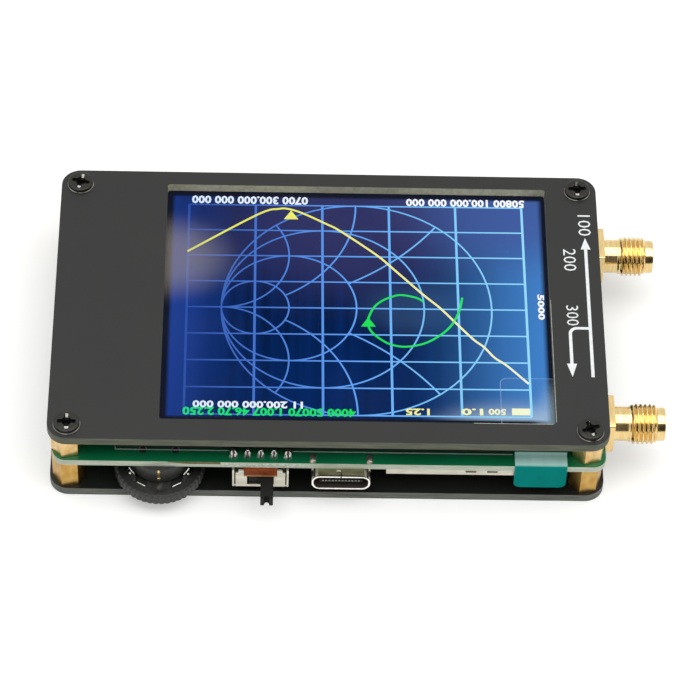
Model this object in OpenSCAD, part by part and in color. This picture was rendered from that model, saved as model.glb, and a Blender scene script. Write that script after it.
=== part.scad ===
// Handheld two-port frequency analyzer, built as an open sandwich: a black front plate with a
// touch screen, a green circuit board and a black rear plate, held apart by brass standoffs.
// Two coaxial ports stand on the right edge. A jog wheel, a slide switch and a charging
// socket sit under the board on the front edge.
// X runs to the right, Y away from the control edge and Z up out of the screen.
// The origin is the centre of the rear plate's underside.

/* [Plates] */
// Width of the front and rear plates
plate_w = 85.5; // [84:0.5:95]
// Depth of the front and rear plates
plate_d = 54; // [53:0.5:60]
// Thickness of each plate
plate_t = 1.5; // [1.4:0.1:2.4]
// Radius of the corners of the plates and the board
corner_r = 3; // [2:0.5:4]
// Distance of each fixing hole from the nearest side edge
hole_inset_x = 3; // [2.8:0.1:3.6]
// Distance of each fixing hole from the nearest front or back edge
hole_inset_y = 2.8; // [2.6:0.1:3.6]

/* [Standoffs and screws] */
// Length of the standoffs between the rear plate and the board
rear_gap = 6; // [5.6:0.2:9]
// Length of the standoffs between the board and the front plate
front_gap = 4; // [3.6:0.2:6]
// Width of a standoff across its flats
standoff_af = 4.4; // [3.6:0.2:4.8]
// Diameter of the screw shanks and of the standoffs' studs
thread_d = 2; // [1.6:0.1:2.4]
// Diameter of a screw head
head_d = 4; // [3.8:0.1:4.6]
// Height of the low heads on the front plate
pan_h = 0.65; // [0.5:0.05:1]
// Depth of the flat heads' cones in the rear plate
cone_h = 1; // [0.8:0.05:1.2]
// How far the flat heads lie below the rear plate's underside
head_sunk = 0.1; // [0.05:0.05:0.2]
// Length of screw thread in a standoff
screw_bite = 2.2; // [1.6:0.1:2.4]
// Length of the front standoffs' studs in the rear standoffs
stud_bite = 2.4; // [1.8:0.1:2.8]
// Width of a cross recess's arms
cross_w = 0.7; // [0.4:0.05:0.7]
// Length of a cross recess from tip to tip
cross_l = 3; // [2:0.1:3]
// Depth of a cross recess
cross_h = 0.5; // [0.3:0.05:0.6]

/* [Board] */
// Thickness of the circuit board
board_t = 1.2; // [0.8:0.1:1.6]
// Distance of the board's left edge inside the plates' left edge
board_left_inset = 0.75; // [0.25:0.25:1.5]
// Distance of the board's right edge inside the plates' right edge
board_right_inset = 0.25; // [0:0.05:0.5]
// Corner radius of the board
board_corner_r = 2; // [1:0.1:4]
// Distance of the row of soldered pins from the board's front edge
pin_inset = 1.5; // [0.9:0.05:1.5]
// Radius of a solder joint on a switch leg
leg_joint_r = 0.7; // [0.7:0.05:1]
// Radius of a solder joint on a switch terminal
pin_joint_r = 0.6; // [0.55:0.05:0.8]
// Height of a solder joint above the board
joint_h = 1.2; // [0.5:0.05:1.2]

/* [Screen] */
// Width of the screen module
lcd_w = 69.2; // [64:0.2:72]
// Depth of the screen module
lcd_d = 50; // [46:0.5:51]
// Gap between the screen module and the right-hand standoffs
lcd_standoff_gap = 0.5; // [0.3:0.02:1.5]
// Gap between the screen module and the solder joints in front of it
lcd_joint_gap = 0.25; // [0.2:0.05:0.6]
// Width of the module that the front plate covers on the left
border_left = 6.65; // [3:0.05:10]
// Width of the module that the front plate covers on the right
border_right = 2.15; // [1:0.05:5]
// Width of the module that the front plate covers at the front
border_front = 1.55; // [1.5:0.05:5]
// Width of the module that the front plate covers at the back
border_back = 1.15; // [0.8:0.05:5]
// Radius of the window's corners
window_r = 0.5; // [0.5:0.1:2]
// Thickness of the tape under the screen module
tape_t = 0.3; // [0.1:0.05:0.5]
// Width of each strip of that tape
tape_w = 5; // [3:0.5:8]
// Wall of the screen module's tray
tray_wall = 0.6; // [0.3:0.05:1]
// Floor of the screen module's tray
tray_floor = 0.25; // [0.15:0.05:0.4]
// Thickness of the light guide
guide_t = 0.8; // [0.4:0.05:0.9]
// Thickness of the touch panel
touch_t = 1.2; // [0.7:0.1:1.3]
// Thickness of the protective film
film_t = 0.1; // [0.05:0.01:0.15]
// Gap between the protective film and the front plate
film_gap = 0.25; // [0.2:0.01:0.4]
// Width of the flat ribbon that joins the screen to the board
flex_w = 24; // [12:1:36]
// Thickness of that ribbon
flex_t = 0.15; // [0.1:0.01:0.25]
// Length of the ribbon that is soldered to the board
flex_tail = 3; // [2:0.25:4]

/* [Pull tab] */
// Width of the pull tab on the protective film
tab_w = 8; // [5:0.25:12]
// Thickness of the pull tab
tab_t = 0.15; // [0.1:0.01:0.19]
// Distance of the pull tab inside the screen module's right edge
tab_inset = 0.2; // [0.2:0.1:4]
// Length of the pull tab that is stuck to the film
tab_stick = 1.2; // [1:0.1:1.4]
// How far the pull tab hangs below the board's top
tab_drop = 5; // [3:0.05:6.5]
// Radius of the pull tab's free corners
tab_r = 1; // [0.3:0.1:1.5]

/* [Coaxial ports] */
// Thread diameter of a port
port_d = 6.25; // [6:0.05:6.35]
// Pitch of the thread's crests
port_pitch = 0.7056; // [0.5:0.0001:1]
// Number of crests on the thread
port_crests = 6; // [3:1:8]
// Depth of the thread
port_thread_h = 0.4; // [0.2:0.05:0.45]
// Diameter of the plain neck behind the thread
port_neck_d = 5.3; // [5:0.05:5.6]
// Length of the plain neck
port_neck_l = 2.3; // [1.5:0.1:5]
// Diameter of the plain tip in front of the thread
port_tip_d = 5.2; // [5:0.05:5.4]
// Length of the plain tip
port_tip_l = 1.3; // [0.5:0.1:2]
// Width of the square flange
flange_w = 6.35; // [6:0.05:6.5]
// Thickness of the square flange
flange_t = 1.4; // [1:0.05:2.5]
// Diameter of the socket in the tip
socket_d = 4.6; // [4.4:0.05:4.7]
// Depth of the socket in the tip
socket_l = 1.9; // [1:0.1:2.5]
// Diameter of the white insulator
insulator_d = 4.1; // [3.5:0.05:4.2]
// Diameter of the centre contact
contact_d = 1.27; // [1:0.01:1.4]
// Diameter of the hole in the centre contact
contact_hole_d = 0.93; // [0.8:0.01:0.95]
// Depth of that hole
contact_hole_l = 2.5; // [1.5:0.1:4]
// Diameter of the contact's tail on the board
tail_d = 0.9; // [0.6:0.05:1]
// Length of the contact's tail on the board
tail_l = 2.3; // [1.5:0.1:4]
// Width and height of the flange's soldering legs
port_leg = 0.9; // [0.6:0.05:1]
// Length of the flange's soldering legs
port_leg_l = 4.6; // [3:0.1:4.8]
// Distance from the legs' outer sides to the flange's sides
port_leg_inset = 0.3; // [0.1:0.05:0.3]
// Gap between the near port's legs and the front standoff
port_standoff_gap = 0.3; // [0.3:0.05:1.5]
// Distance between the two ports' axes
port_spacing = 33.75; // [20:0.25:36]

/* [Jog wheel] */
// Diameter of the jog wheel
wheel_d = 14; // [12:0.1:15]
// Thickness of the jog wheel
wheel_t = 2; // [1.6:0.1:2.2]
// Number of teeth on the wheel's rim
wheel_teeth = 46; // [24:1:80]
// Height of a tooth
tooth_h = 0.28; // [0.1:0.02:0.4]
// Place of the wheel's centre along the front edge
wheel_x = -25.8; // [-27:0.1:-23]
// How far the wheel stands out of the plates' front edge
wheel_reach = 3.6; // [2.5:0.1:4.5]
// Gap between the rear plate and the wheel
wheel_floor_gap = 0.9; // [0.8:0.05:1.2]
// Gap between the wheel and the housing above it
wheel_top_gap = 0.25; // [0.15:0.05:0.5]
// Width of the wheel's rim
rim_w = 1.6; // [1.2:0.1:2]
// Depth of the pockets in the wheel's top
pocket_h = 0.5; // [0.5:0.1:1.5]
// Width of the spoke between the pockets
spoke_w = 3.7; // [2:0.1:4.5]
// Diameter of the wheel's hub
hub_d = 5; // [4.4:0.1:5.4]
// Diameter of the axle
axle_d = 3; // [2.4:0.1:3.2]
// Radial clearance of the wheel on its axle
axle_clear = 0.05; // [0.03:0.01:0.08]
// Diameter of the wire of the centring spring
wire_d = 0.4; // [0.3:0.05:0.5]
// Diameter of the retaining washer under the wheel
washer_d = 4.6; // [4:0.1:5]
// Thickness of the retaining washer
washer_t = 0.3; // [0.2:0.05:0.35]
// Diameter of the fixed housing
housing_d = 9.2; // [9:0.1:10]
// How far the housing's centre lies behind the wheel's
housing_back = 0.3; // [0.2:0.1:1.2]
// Thickness of the housing's roof under the board
roof_t = 0.6; // [0.4:0.05:0.8]
// Thickness of the housing's lips under the sliding carrier
lip_t = 0.7; // [0.5:0.05:0.8]
// Width of the carrier's wide part, above the lips
slide_w = 5; // [4.4:0.1:5.2]
// Width of the carrier's neck, between the lips
neck_w = 3.4; // [3.2:0.1:3.6]
// Length of the carrier
slide_l = 4.4; // [4:0.1:4.6]
// Clearance round the carrier
slide_clear = 0.06; // [0.04:0.01:0.1]
// Travel of the wheel when it is pressed
push_travel = 0.8; // [0.4:0.1:1]
// Thickness of the contact strips
strip_t = 0.2; // [0.15:0.05:0.3]
// Diameter of the housing's locating pegs
peg_d = 1.1; // [0.8:0.1:1.4]
// Distance between the locating pegs
peg_pitch = 5; // [4:0.1:6]
// How far the locating pegs lie in front of the wheel's centre
peg_front = 1.15; // [0.5:0.05:1.5]

/* [Slide switch] */
// Place of the switch along the front edge
switch_x = -10.3; // [-12.5:0.1:-9.5]
// Width of the switch's shell
switch_w = 8.6; // [8.4:0.1:10]
// Height of the switch under the board
switch_h = 4; // [3.8:0.1:4.4]
// Depth of the switch's shell
switch_d = 4.2; // [3.8:0.1:5]
// How far the shell stands out of the board's front edge
switch_reach = 0.6; // [0.2:0.1:0.8]
// Thickness of the shell's sheet metal
switch_wall = 0.3; // [0.2:0.05:0.35]
// Gap between the shell's front and its end walls
switch_corner_gap = 0.2; // [0.1:0.05:0.3]
// Thickness of the brown base
base_t = 1.5; // [1.2:0.1:1.6]
// Height of the shell's front below the slot
slot_lip = 0.5; // [0.5:0.05:0.8]
// Width of the lever
lever_w = 1.96; // [1.6:0.02:2.2]
// Thickness of the lever
lever_t = 1.7; // [1:0.1:1.8]
// How far the lever stands out of the shell
lever_l = 4.1; // [2:0.1:6]
// Depth of the notch in the lever's end
lever_notch = 0.55; // [0.2:0.05:0.8]
// Travel of the lever from end to end
lever_travel = 2; // [1.5:0.1:2.2]
// Gap between the lever and the slot's ends
lever_end_gap = 0.07; // [0.05:0.01:0.15]
// Clearance round the sliding block
slider_clear = 0.1; // [0.06:0.01:0.12]
// Width of the crimped ears that hold the base
ear_w = 0.8; // [0.6:0.05:0.9]
// Gap between the slot and the crimped ears
ear_gap = 0.5; // [0.3:0.05:0.6]
// Distance between the switch's terminals
terminal_pitch = 2; // [1.8:0.05:2.2]
// Diameter of a terminal
terminal_d = 0.5; // [0.4:0.05:0.6]
// Width of the shell's soldering legs
switch_leg_w = 0.9; // [0.6:0.05:1.1]

/* [Charging socket] */
// Place of the socket along the front edge
charge_x = 2; // [0.5:0.1:4]
// Width of the socket's shell
charge_w = 8.94; // [8.8:0.02:9.1]
// Height of the socket's shell
charge_h = 3.2; // [3.1:0.02:3.4]
// Length of the socket's shell
charge_l = 7.35; // [6.5:0.05:9]
// How far the socket stands out of the board's front edge
charge_reach = 1.55; // [0.5:0.05:2]
// Radius of the shell's corners
charge_r = 1.35; // [1:0.05:1.5]
// Thickness of the shell's sheet metal
charge_wall = 0.3; // [0.25:0.01:0.35]
// Width of the tongue
tongue_w = 6.7; // [6:0.05:6.9]
// Thickness of the tongue
tongue_t = 0.7; // [0.6:0.05:0.8]
// Distance of the tongue's end inside the mouth
tongue_inset = 0.45; // [0.4:0.05:1.5]
// Length of the moulded block behind the tongue
tongue_block = 1.6; // [1:0.1:2]
// Number of contacts on each side of the tongue
charge_contacts_n = 12; // [6:1:12]
// Distance between the contacts
charge_contact_pitch = 0.5; // [0.4:0.01:0.5]
// Width of a contact
charge_contact_w = 0.25; // [0.15:0.01:0.3]
// Length of a contact
charge_contact_l = 3; // [2:0.1:3.4]
// Thickness of a contact
charge_contact_t = 0.06; // [0.04:0.01:0.1]
// Width of the shell's soldering legs
charge_leg_w = 1.1; // [0.8:0.05:1.4]
// Distance between the front and rear soldering legs
charge_leg_pitch = 3.8; // [3:0.1:4.2]

/* [Shield and chips] */
// Gap between the charging socket and the shield
shield_gap = 2.73; // [1.5:0.01:4]
// Width of the shield
shield_w = 25.4; // [22:0.1:26]
// Depth of the shield
shield_d = 42; // [36:0.5:44]
// Depth of the shield's front chamber
chamber_d = 23; // [22:0.5:25]
// Height of the shield under the board
shield_h = 1.7; // [1.7:0.1:2.5]
// Distance of the shield from the board's front edge
shield_inset = 0.9; // [0.5:0.05:1]
// Thickness of the shield's sheet metal
shield_wall = 0.25; // [0.15:0.05:0.3]
// Height of the lid's rim round the shield
lid_rim = 0.9; // [0.6:0.05:1.2]
// Gap between the lid's rim and the shield's walls
lid_gap = 0.03; // [0.02:0.01:0.1]
// Width of the snap slots in the lid's rim
snap_w = 1.6; // [0.8:0.1:2]
// Height of the snap slots
snap_h = 0.45; // [0.2:0.05:0.5]
// Distance between the snap slots
snap_pitch = 3.3; // [2:0.1:6]
// Thickness of the chips
chip_h = 1; // [0.8:0.05:1.2]
// Width of the processor's body
processor_w = 7; // [6:0.5:8]
// Number of leads on each side of the processor
processor_leads = 12; // [8:1:12]

/* [Battery] */
// Width of the battery
battery_w = 40; // [30:1:42]
// Depth of the battery
battery_d = 30; // [24:1:31]
// Thickness of the adhesive pad under the battery
pad_t = 0.5; // [0.2:0.1:1]
// Room left for the chips between the battery and the board
chip_room = 1.3; // [1.25:0.05:2]
// Gap between the pressed wheel and the battery
battery_wheel_gap = 2; // [1:0.25:4]
// Gap between the battery and the shield
battery_shield_gap = 5.2; // [2:0.2:6]
// Depth of the guard circuit at the battery's end
guard_d = 2.5; // [2:0.1:3]
// Diameter of the battery's leads
lead_d = 1; // [0.8:0.1:1.1]
// Distance between the battery's leads
lead_pitch = 1.5; // [1.3:0.1:2]

/* [Hidden] */
$fn = 48;

// Clearances of fixed pieces, and the overshoot of cuts through a face
hole_clear = 0.1;
thread_clear = 0.05;
fit_clear = 0.05;
over = 1;

// Heights of the sandwich, from the rear plate's underside
board_z0 = plate_t + rear_gap;
board_z1 = board_z0 + board_t;
front_z0 = board_z1 + front_gap;
front_z1 = front_z0 + plate_t;

// Edges of the plates and the board, and the fixing holes
front_y = -plate_d / 2;
back_y = plate_d / 2;
board_x0 = -plate_w / 2 + board_left_inset;
board_x1 = plate_w / 2 - board_right_inset;
hole_x = plate_w / 2 - hole_inset_x;
hole_y = plate_d / 2 - hole_inset_y;
standoff_r = standoff_af / 2 / cos(30);
pin_y = front_y + pin_inset;

// The screen module, its stack and the window over it
lcd_x1 = hole_x - standoff_r - lcd_standoff_gap;
lcd_x0 = lcd_x1 - lcd_w;
lcd_y0 = pin_y + leg_joint_r + lcd_joint_gap;
lcd_y1 = lcd_y0 + lcd_d;
window_x0 = lcd_x0 + border_left;
window_x1 = lcd_x1 - border_right;
window_y0 = lcd_y0 + border_front;
window_y1 = lcd_y1 - border_back;
film_z1 = front_z0 - film_gap;
film_z0 = film_z1 - film_t;
touch_z0 = film_z0 - touch_t;
tray_z0 = board_z1 + tape_t;
guide_z0 = tray_z0 + tray_floor;
cell_z0 = guide_z0 + guide_t;
touch_inset = 0.2;
film_inset = 0.5;
cell_ledge = 3;
standoff_clear = 0.3;
ribbon_bend_r = 0.7;
ribbon_out = 1.4;

// The coaxial ports: one axis height, and both axes' places along Y
port_z = board_z1 + tail_d / 2;
port_leg_y = flange_w / 2 - port_leg_inset - port_leg / 2;
near_port_y = -hole_y + standoff_af / 2 + port_standoff_gap + port_leg_y + port_leg / 2;
far_port_y = near_port_y + port_spacing;
port_thread_l = port_crests * port_pitch;
port_l = flange_t + port_neck_l + port_thread_l + port_tip_l;
tip_lead = 0.25;
crest_w = 0.11;

// The jog wheel, its housing and the carrier that slides in it
wheel_y = front_y - wheel_reach + wheel_d / 2;
wheel_z0 = plate_t + wheel_floor_gap;
wheel_z1 = wheel_z0 + wheel_t;
housing_y = wheel_y + housing_back;
housing_z0 = wheel_z1 + wheel_top_gap;
chamber_z0 = housing_z0 + lip_t;
chamber_z1 = board_z0 - roof_t;
chamber_y0 = wheel_y - slide_l / 2 - slide_clear;
chamber_y1 = wheel_y + slide_l / 2 + push_travel + slide_clear + strip_t;
groove_depth = 0.3;
groove_z0 = wheel_z0 - fit_clear - washer_t;
axle_end = 0.15;
peg_y = wheel_y - peg_front;
prong_angle = 36;
prong_l = 1.1;
prong_h = 1.3;
clip_w = 0.5;
clip_h = 0.5;
clip_drop = 0.55;
clip_rise = 0.7;
push_strip_w = 2.5;

// The slide switch under the board
switch_y0 = front_y - switch_reach;
switch_y1 = switch_y0 + switch_d;
switch_z0 = board_z0 - switch_h;
base_z0 = board_z0 - base_t;
slot_w = lever_w + lever_travel + 2 * lever_end_gap;
shell_front_w = switch_w - 2 * (switch_wall + switch_corner_gap);
ear_x = slot_w / 2 + ear_gap;
slider_h = base_z0 - switch_z0 - switch_wall - 2 * slider_clear;
slider_w = switch_w - 2 * switch_wall - lever_travel - 2 * lever_end_gap - 2 * slider_clear;
slider_d = 2.2;
lever_rest_x = switch_x + lever_travel / 2;
lever_z = (base_z0 + switch_z0 + slot_lip) / 2;
wiper_h = 0.25;
wiper_d = 0.8;
terminal_rise = 1.5;
leg_rise = 1;

// The charging socket under the board
charge_y0 = front_y - charge_reach;
charge_z = board_z0 - charge_h / 2;
charge_leg_x = charge_w / 2 - charge_wall / 2;
charge_leg_forward = 0.6;
charge_leg_y = pin_y - charge_leg_forward;
charge_contact_inset = 0.1;
tongue_y0 = charge_y0 + tongue_inset;
block_y1 = charge_y0 + charge_l - charge_wall;

// Solder round the pins and legs
joint_neck = 0.1;
charge_joint = [1, charge_leg_w + 0.6];
charge_joint_r = 0.45;
charge_joint_h = 0.15;

// The shield and the chips on the board's underside
shield_x0 = charge_x + charge_w / 2 + shield_gap;
shield_x1 = shield_x0 + shield_w;
shield_y0 = front_y + shield_inset;
shield_y1 = shield_y0 + shield_d;
shield_z0 = board_z0 - shield_h;
shield_mid = (shield_x0 + shield_x1) / 2;
divider_y = shield_y0 + chamber_d;

// Chips: their leads, their sizes, and their places from the corner that each is laid out from
lead_out = 0.9;
lead_h = 0.2;
fine_pitch = 0.5;
processor_at = [16, 12];
mixer_size = [4.9, 3.9];
mixer_at = [6, 5];
mixer_step = 7;
mixer_leads = 4;
mixer_lead_pitch = 1.27;
clock_size = [3, 3];
clock_at = [4, 7];
clock_leads = 5;
codec_size = [5, 5];
codec_at = [4, 9];
oscillator_size = [3.2, 2.5];
oscillator_at = [4, 15];
charger_size = [2.9, 1.6];
charger_at = 4;
charger_lead_pitch = 0.95;
passive_size = [1, 1.8];
passive_step = 2.2;
passive_at = [24, 6];
passive_row = 12;
radio_passive_at = [-5, 3];

// The battery, its guard circuit, and its plug and socket
battery_t = rear_gap - pad_t - chip_room;
battery_x1 = shield_x0 - battery_shield_gap;
battery_x0 = battery_x1 - battery_w;
battery_y0 = wheel_y + wheel_d / 2 + push_travel + battery_wheel_gap;
battery_y1 = battery_y0 + battery_d;
battery_z0 = plate_t + pad_t;
battery_r = 1.5;
pad_inset = 2;
guard_inset = 5;
guard_h = 1.8;
guard_y1 = battery_y1 + guard_d;
socket_w = 5.5;
socket_depth = 4.4;
socket_h = 3;
plug_l = 3.2;
plug_w = 4;
plug_h = 2.4;
plug_inset = 5;
plug_back = 3.4;
plug_x1 = battery_x1 - plug_inset;
plug_y = guard_y1 + plug_back;
plug_z = board_z0 - socket_h / 2;
lead_z = battery_z0 + guard_h / 2;
lead_out_x = 6;
lead_x = plug_x1 - plug_l - lead_out_x;
// A lead leaves the guard circuit, turns right as it climbs, and runs straight into the plug
function lead_route(side, row) =
  let (x = lead_x + side, y = plug_y + row, rise = plug_z - lead_z)
  [
    [x, guard_y1, lead_z], [x, guard_y1 + 1, lead_z], [x + 0.4, y - 1.2, lead_z + 0.3 * rise],
    [x + 1.5, y - 0.2, lead_z + 0.5 * rise], [x + 3, y, lead_z + 0.8 * rise],
    [plug_x1 - plug_l - 1, y, plug_z], [plug_x1 - plug_l, y, plug_z]
  ];

// Shapes that several pieces share

module block(low, high) {
  translate(low) cube(high - low);
}

module rounded(low, high, r) {
  union() {
    translate([low.x + r, low.y]) square([high.x - low.x - 2 * r, high.y - low.y]);
    translate([low.x, low.y + r]) square([high.x - low.x, high.y - low.y - 2 * r]);
    for (x = [low.x + r, high.x - r], y = [low.y + r, high.y - r]) translate([x, y]) circle(r);
  }
}

module slab(low, high, r, z0, h) {
  translate([0, 0, z0]) linear_extrude(h) rounded(low, high, r);
}

module at_holes() {
  for (x = [-hole_x, hole_x], y = [-hole_y, hole_y]) translate([x, y, 0]) children();
}

module hexagon_post(h) {
  cylinder(r = standoff_r, h = h, $fn = 6);
}

module cross_recess() {
  for (a = [0, 90]) rotate(a) translate([-cross_l / 2, -cross_w / 2, -cross_h])
    cube([cross_l, cross_w, cross_h + over]);
}

// A round tube along points, none of whose stretches stands upright
function unit(v) = v / norm(v);
function along(path, i) =
  let (last = len(path) - 1)
  unit(path[min(i + 1, last)] - path[max(i - 1, 0)]);
function ring(path, i, r, sides) =
  let (t = along(path, i), n = unit(cross(t, [0, 0, 1])), b = cross(n, t))
  [for (k = [0:sides - 1]) path[i] + r * (cos(360 * k / sides) * n + sin(360 * k / sides) * b)];

module tube(path, d, sides) {
  rings = len(path);
  points = [for (i = [0:rings - 1]) each ring(path, i, d / 2, sides)];
  walls = [
    for (i = [0:rings - 2], k = [0:sides - 1])
      let (a = i * sides + k, b = i * sides + (k + 1) % sides)
      each [[a, b, b + sides], [a, b + sides, a + sides]]
  ];
  start = [for (k = [1:sides - 2]) [0, k + 1, k]];
  end = (rings - 1) * sides;
  finish = [for (k = [1:sides - 2]) [end, end + k, end + k + 1]];
  polyhedron(points, concat(walls, start, finish));
}

// The sandwich: plates, board, standoffs and screws

module front_plate() {
  color("#40413e") difference() {
    slab([-plate_w / 2, front_y], [plate_w / 2, back_y], corner_r, front_z0, plate_t);
    slab([window_x0, window_y0], [window_x1, window_y1], window_r, front_z0 - over, plate_t + 2 * over);
    at_holes() translate([0, 0, front_z0 - over])
      cylinder(d = thread_d + 2 * hole_clear, h = plate_t + 2 * over);
  }
}

module flat_head_seat() {
  translate([0, 0, -over]) cylinder(d = head_d + 2 * fit_clear, h = over + head_sunk);
  translate([0, 0, head_sunk])
    cylinder(d1 = head_d + 2 * fit_clear, d2 = thread_d + 2 * fit_clear, h = cone_h);
}

module rear_plate() {
  color("#1d1e1c") difference() {
    slab([-plate_w / 2, front_y], [plate_w / 2, back_y], corner_r, 0, plate_t);
    at_holes() {
      translate([0, 0, -over]) cylinder(d = thread_d + 2 * hole_clear, h = plate_t + 2 * over);
      flat_head_seat();
    }
  }
}

module main_board() {
  color("#0d5a38") difference() {
    slab([board_x0, front_y], [board_x1, back_y], board_corner_r, board_z0, board_t);
    translate([0, 0, board_z0 - over]) {
      at_holes() cylinder(d = thread_d + 2 * hole_clear, h = board_t + 2 * over);
      at_terminals() cylinder(d = terminal_d + 2 * hole_clear, h = board_t + 2 * over);
      at_pegs() cylinder(d = peg_d + 2 * hole_clear, h = board_t + 2 * over);
    }
    at_switch_legs() leg_slot(switch_wall, switch_leg_w);
    at_charge_legs() leg_slot(charge_wall, charge_leg_w);
  }
}

module leg_slot(w, d) {
  translate([-w / 2 - hole_clear, -d / 2 - hole_clear, board_z0 - over])
    cube([w + 2 * hole_clear, d + 2 * hole_clear, board_t + 2 * over]);
}

module front_standoffs() {
  color("#d4ab62") at_holes() difference() {
    union() {
      translate([0, 0, board_z1]) hexagon_post(front_gap);
      translate([0, 0, board_z0 - stud_bite]) cylinder(d = thread_d, h = stud_bite + board_t + over);
    }
    translate([0, 0, front_z0 - screw_bite - 2 * thread_clear])
      cylinder(d = thread_d + 2 * thread_clear, h = screw_bite + over);
  }
}

module rear_standoffs() {
  color("#c09a52") at_holes() difference() {
    translate([0, 0, plate_t]) hexagon_post(rear_gap);
    translate([0, 0, plate_t - over])
      cylinder(d = thread_d + 2 * thread_clear, h = rear_gap + 2 * over);
  }
}

module front_screws() {
  color("#262624") at_holes() difference() {
    union() {
      translate([0, 0, front_z1]) cylinder(d = head_d, h = pan_h);
      translate([0, 0, front_z0 - screw_bite]) cylinder(d = thread_d, h = screw_bite + plate_t + pan_h / 2);
    }
    translate([0, 0, front_z1 + pan_h]) cross_recess();
  }
}

module rear_screws() {
  color("#262624") at_holes() difference() {
    union() {
      translate([0, 0, head_sunk]) cylinder(d1 = head_d, d2 = thread_d, h = cone_h);
      translate([0, 0, head_sunk + cone_h / 2])
        cylinder(d = thread_d, h = plate_t + screw_bite - head_sunk - cone_h / 2);
    }
    translate([0, 0, head_sunk]) mirror([0, 0, 1]) cross_recess();
  }
}

// The screen module, from the board up, notched where it reaches the standoffs

module clear_of_standoffs() {
  difference() {
    children();
    at_holes() translate([0, 0, board_z0])
      cylinder(r = standoff_r + standoff_clear, h = front_z1 - board_z0);
  }
}

module screen_tape() {
  color("#e8e6df") for (x = [lcd_x0 + cell_ledge, lcd_x1 - cell_ledge - tape_w])
    block([x, lcd_y0 + tape_w, board_z1], [x + tape_w, lcd_y1 - tape_w, tray_z0]);
}

module screen_tray() {
  color("#2a2a28") clear_of_standoffs() difference() {
    block([lcd_x0, lcd_y0, tray_z0], [lcd_x1, lcd_y1, touch_z0]);
    block(
      [lcd_x0 + tray_wall, lcd_y0 + tray_wall, guide_z0],
      [lcd_x1 - tray_wall, lcd_y1 - tray_wall, touch_z0 + over]
    );
    block(
      [lcd_x0 - over, -flex_w / 2 - fit_clear, cell_z0],
      [lcd_x0 + tray_wall + over, flex_w / 2 + fit_clear, touch_z0 + over]
    );
  }
}

module light_guide() {
  color("#f2f2ee") clear_of_standoffs() block(
    [lcd_x0 + tray_wall + fit_clear, lcd_y0 + tray_wall + fit_clear, guide_z0],
    [lcd_x1 - tray_wall - fit_clear, lcd_y1 - tray_wall - fit_clear, cell_z0]
  );
}

module screen_cell() {
  color("#0a1c46") clear_of_standoffs() block(
    [lcd_x0 + tray_wall + cell_ledge, lcd_y0 + tray_wall + fit_clear, cell_z0],
    [lcd_x1 - tray_wall - fit_clear, lcd_y1 - tray_wall - fit_clear, touch_z0]
  );
}

// The ribbon leaves the cell's ledge, turns down outside the tray and lies on the board
module screen_ribbon() {
  bend_x = lcd_x0 - ribbon_out;
  cell_x = lcd_x0 + tray_wall + cell_ledge;
  outer_r = ribbon_bend_r + flex_t;
  top = cell_z0 + flex_t;
  quarter = [0:15:90];
  outer = [for (a = quarter) [bend_x - outer_r * sin(a), top - outer_r + outer_r * cos(a)]];
  inner = [
    for (a = [90:-15:0]) [bend_x - ribbon_bend_r * sin(a), top - outer_r + ribbon_bend_r * cos(a)]
  ];
  foot_x = bend_x - outer_r;
  foot = [
    [foot_x, board_z1 + flex_t], [foot_x - flex_tail, board_z1 + flex_t],
    [foot_x - flex_tail, board_z1], [foot_x + flex_t, board_z1]
  ];
  color("#b9822f") translate([0, flex_w / 2, 0]) rotate([90, 0, 0]) linear_extrude(flex_w)
    polygon(concat([[cell_x, top]], outer, foot, inner, [[cell_x, cell_z0]]));
}

module touch_panel() {
  color("#1b2740") clear_of_standoffs() block(
    [lcd_x0 + touch_inset, lcd_y0 + touch_inset, touch_z0],
    [lcd_x1 - touch_inset, lcd_y1 - touch_inset, film_z0]
  );
}

module protective_film() {
  color("#8ea4c8", 0.4) clear_of_standoffs() block(
    [lcd_x0 + film_inset, lcd_y0 + film_inset, film_z0],
    [lcd_x1 - film_inset, lcd_y1 - film_inset, film_z1]
  );
}

// The tab is stuck to the film, folds down the module's front, lies on the board and hangs over its edge
module pull_tab() {
  x1 = lcd_x1 - tab_inset;
  x0 = x1 - tab_w;
  fold_y = lcd_y0 - fit_clear;
  hang_y = front_y - fit_clear;
  path = [
    [lcd_y0 + film_inset + tab_stick, film_z1], [fold_y, film_z1], [fold_y, board_z1],
    [hang_y - tab_t, board_z1], [hang_y - tab_t, board_z1 + tab_t],
    [fold_y - tab_t, board_z1 + tab_t], [fold_y - tab_t, film_z1 + tab_t],
    [lcd_y0 + film_inset + tab_stick, film_z1 + tab_t]
  ];
  color("#0a8078") union() {
    translate([x0, 0, 0]) rotate([90, 0, 90]) linear_extrude(tab_w) polygon(path);
    translate([0, hang_y, 0]) rotate([90, 0, 0]) linear_extrude(tab_t) union() {
      rounded([x0, board_z1 - tab_drop], [x1, board_z1], tab_r);
      translate([x0, board_z1 - tab_r]) square([tab_w, tab_r + tab_t]);
    }
  }
}

// The coaxial ports, each drawn along X from the board's right edge

// Outline of the barrel behind its socket: neck, ring-cut thread and plain tip
function thread_outline() = [
  for (i = [0:port_crests - 1])
    let (x = flange_t + port_neck_l + i * port_pitch, root = port_d / 2 - port_thread_h)
    each [
      [root, x], [port_d / 2, x + (port_pitch - crest_w) / 2],
      [port_d / 2, x + (port_pitch + crest_w) / 2], [root, x + port_pitch]
    ]
];

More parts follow.
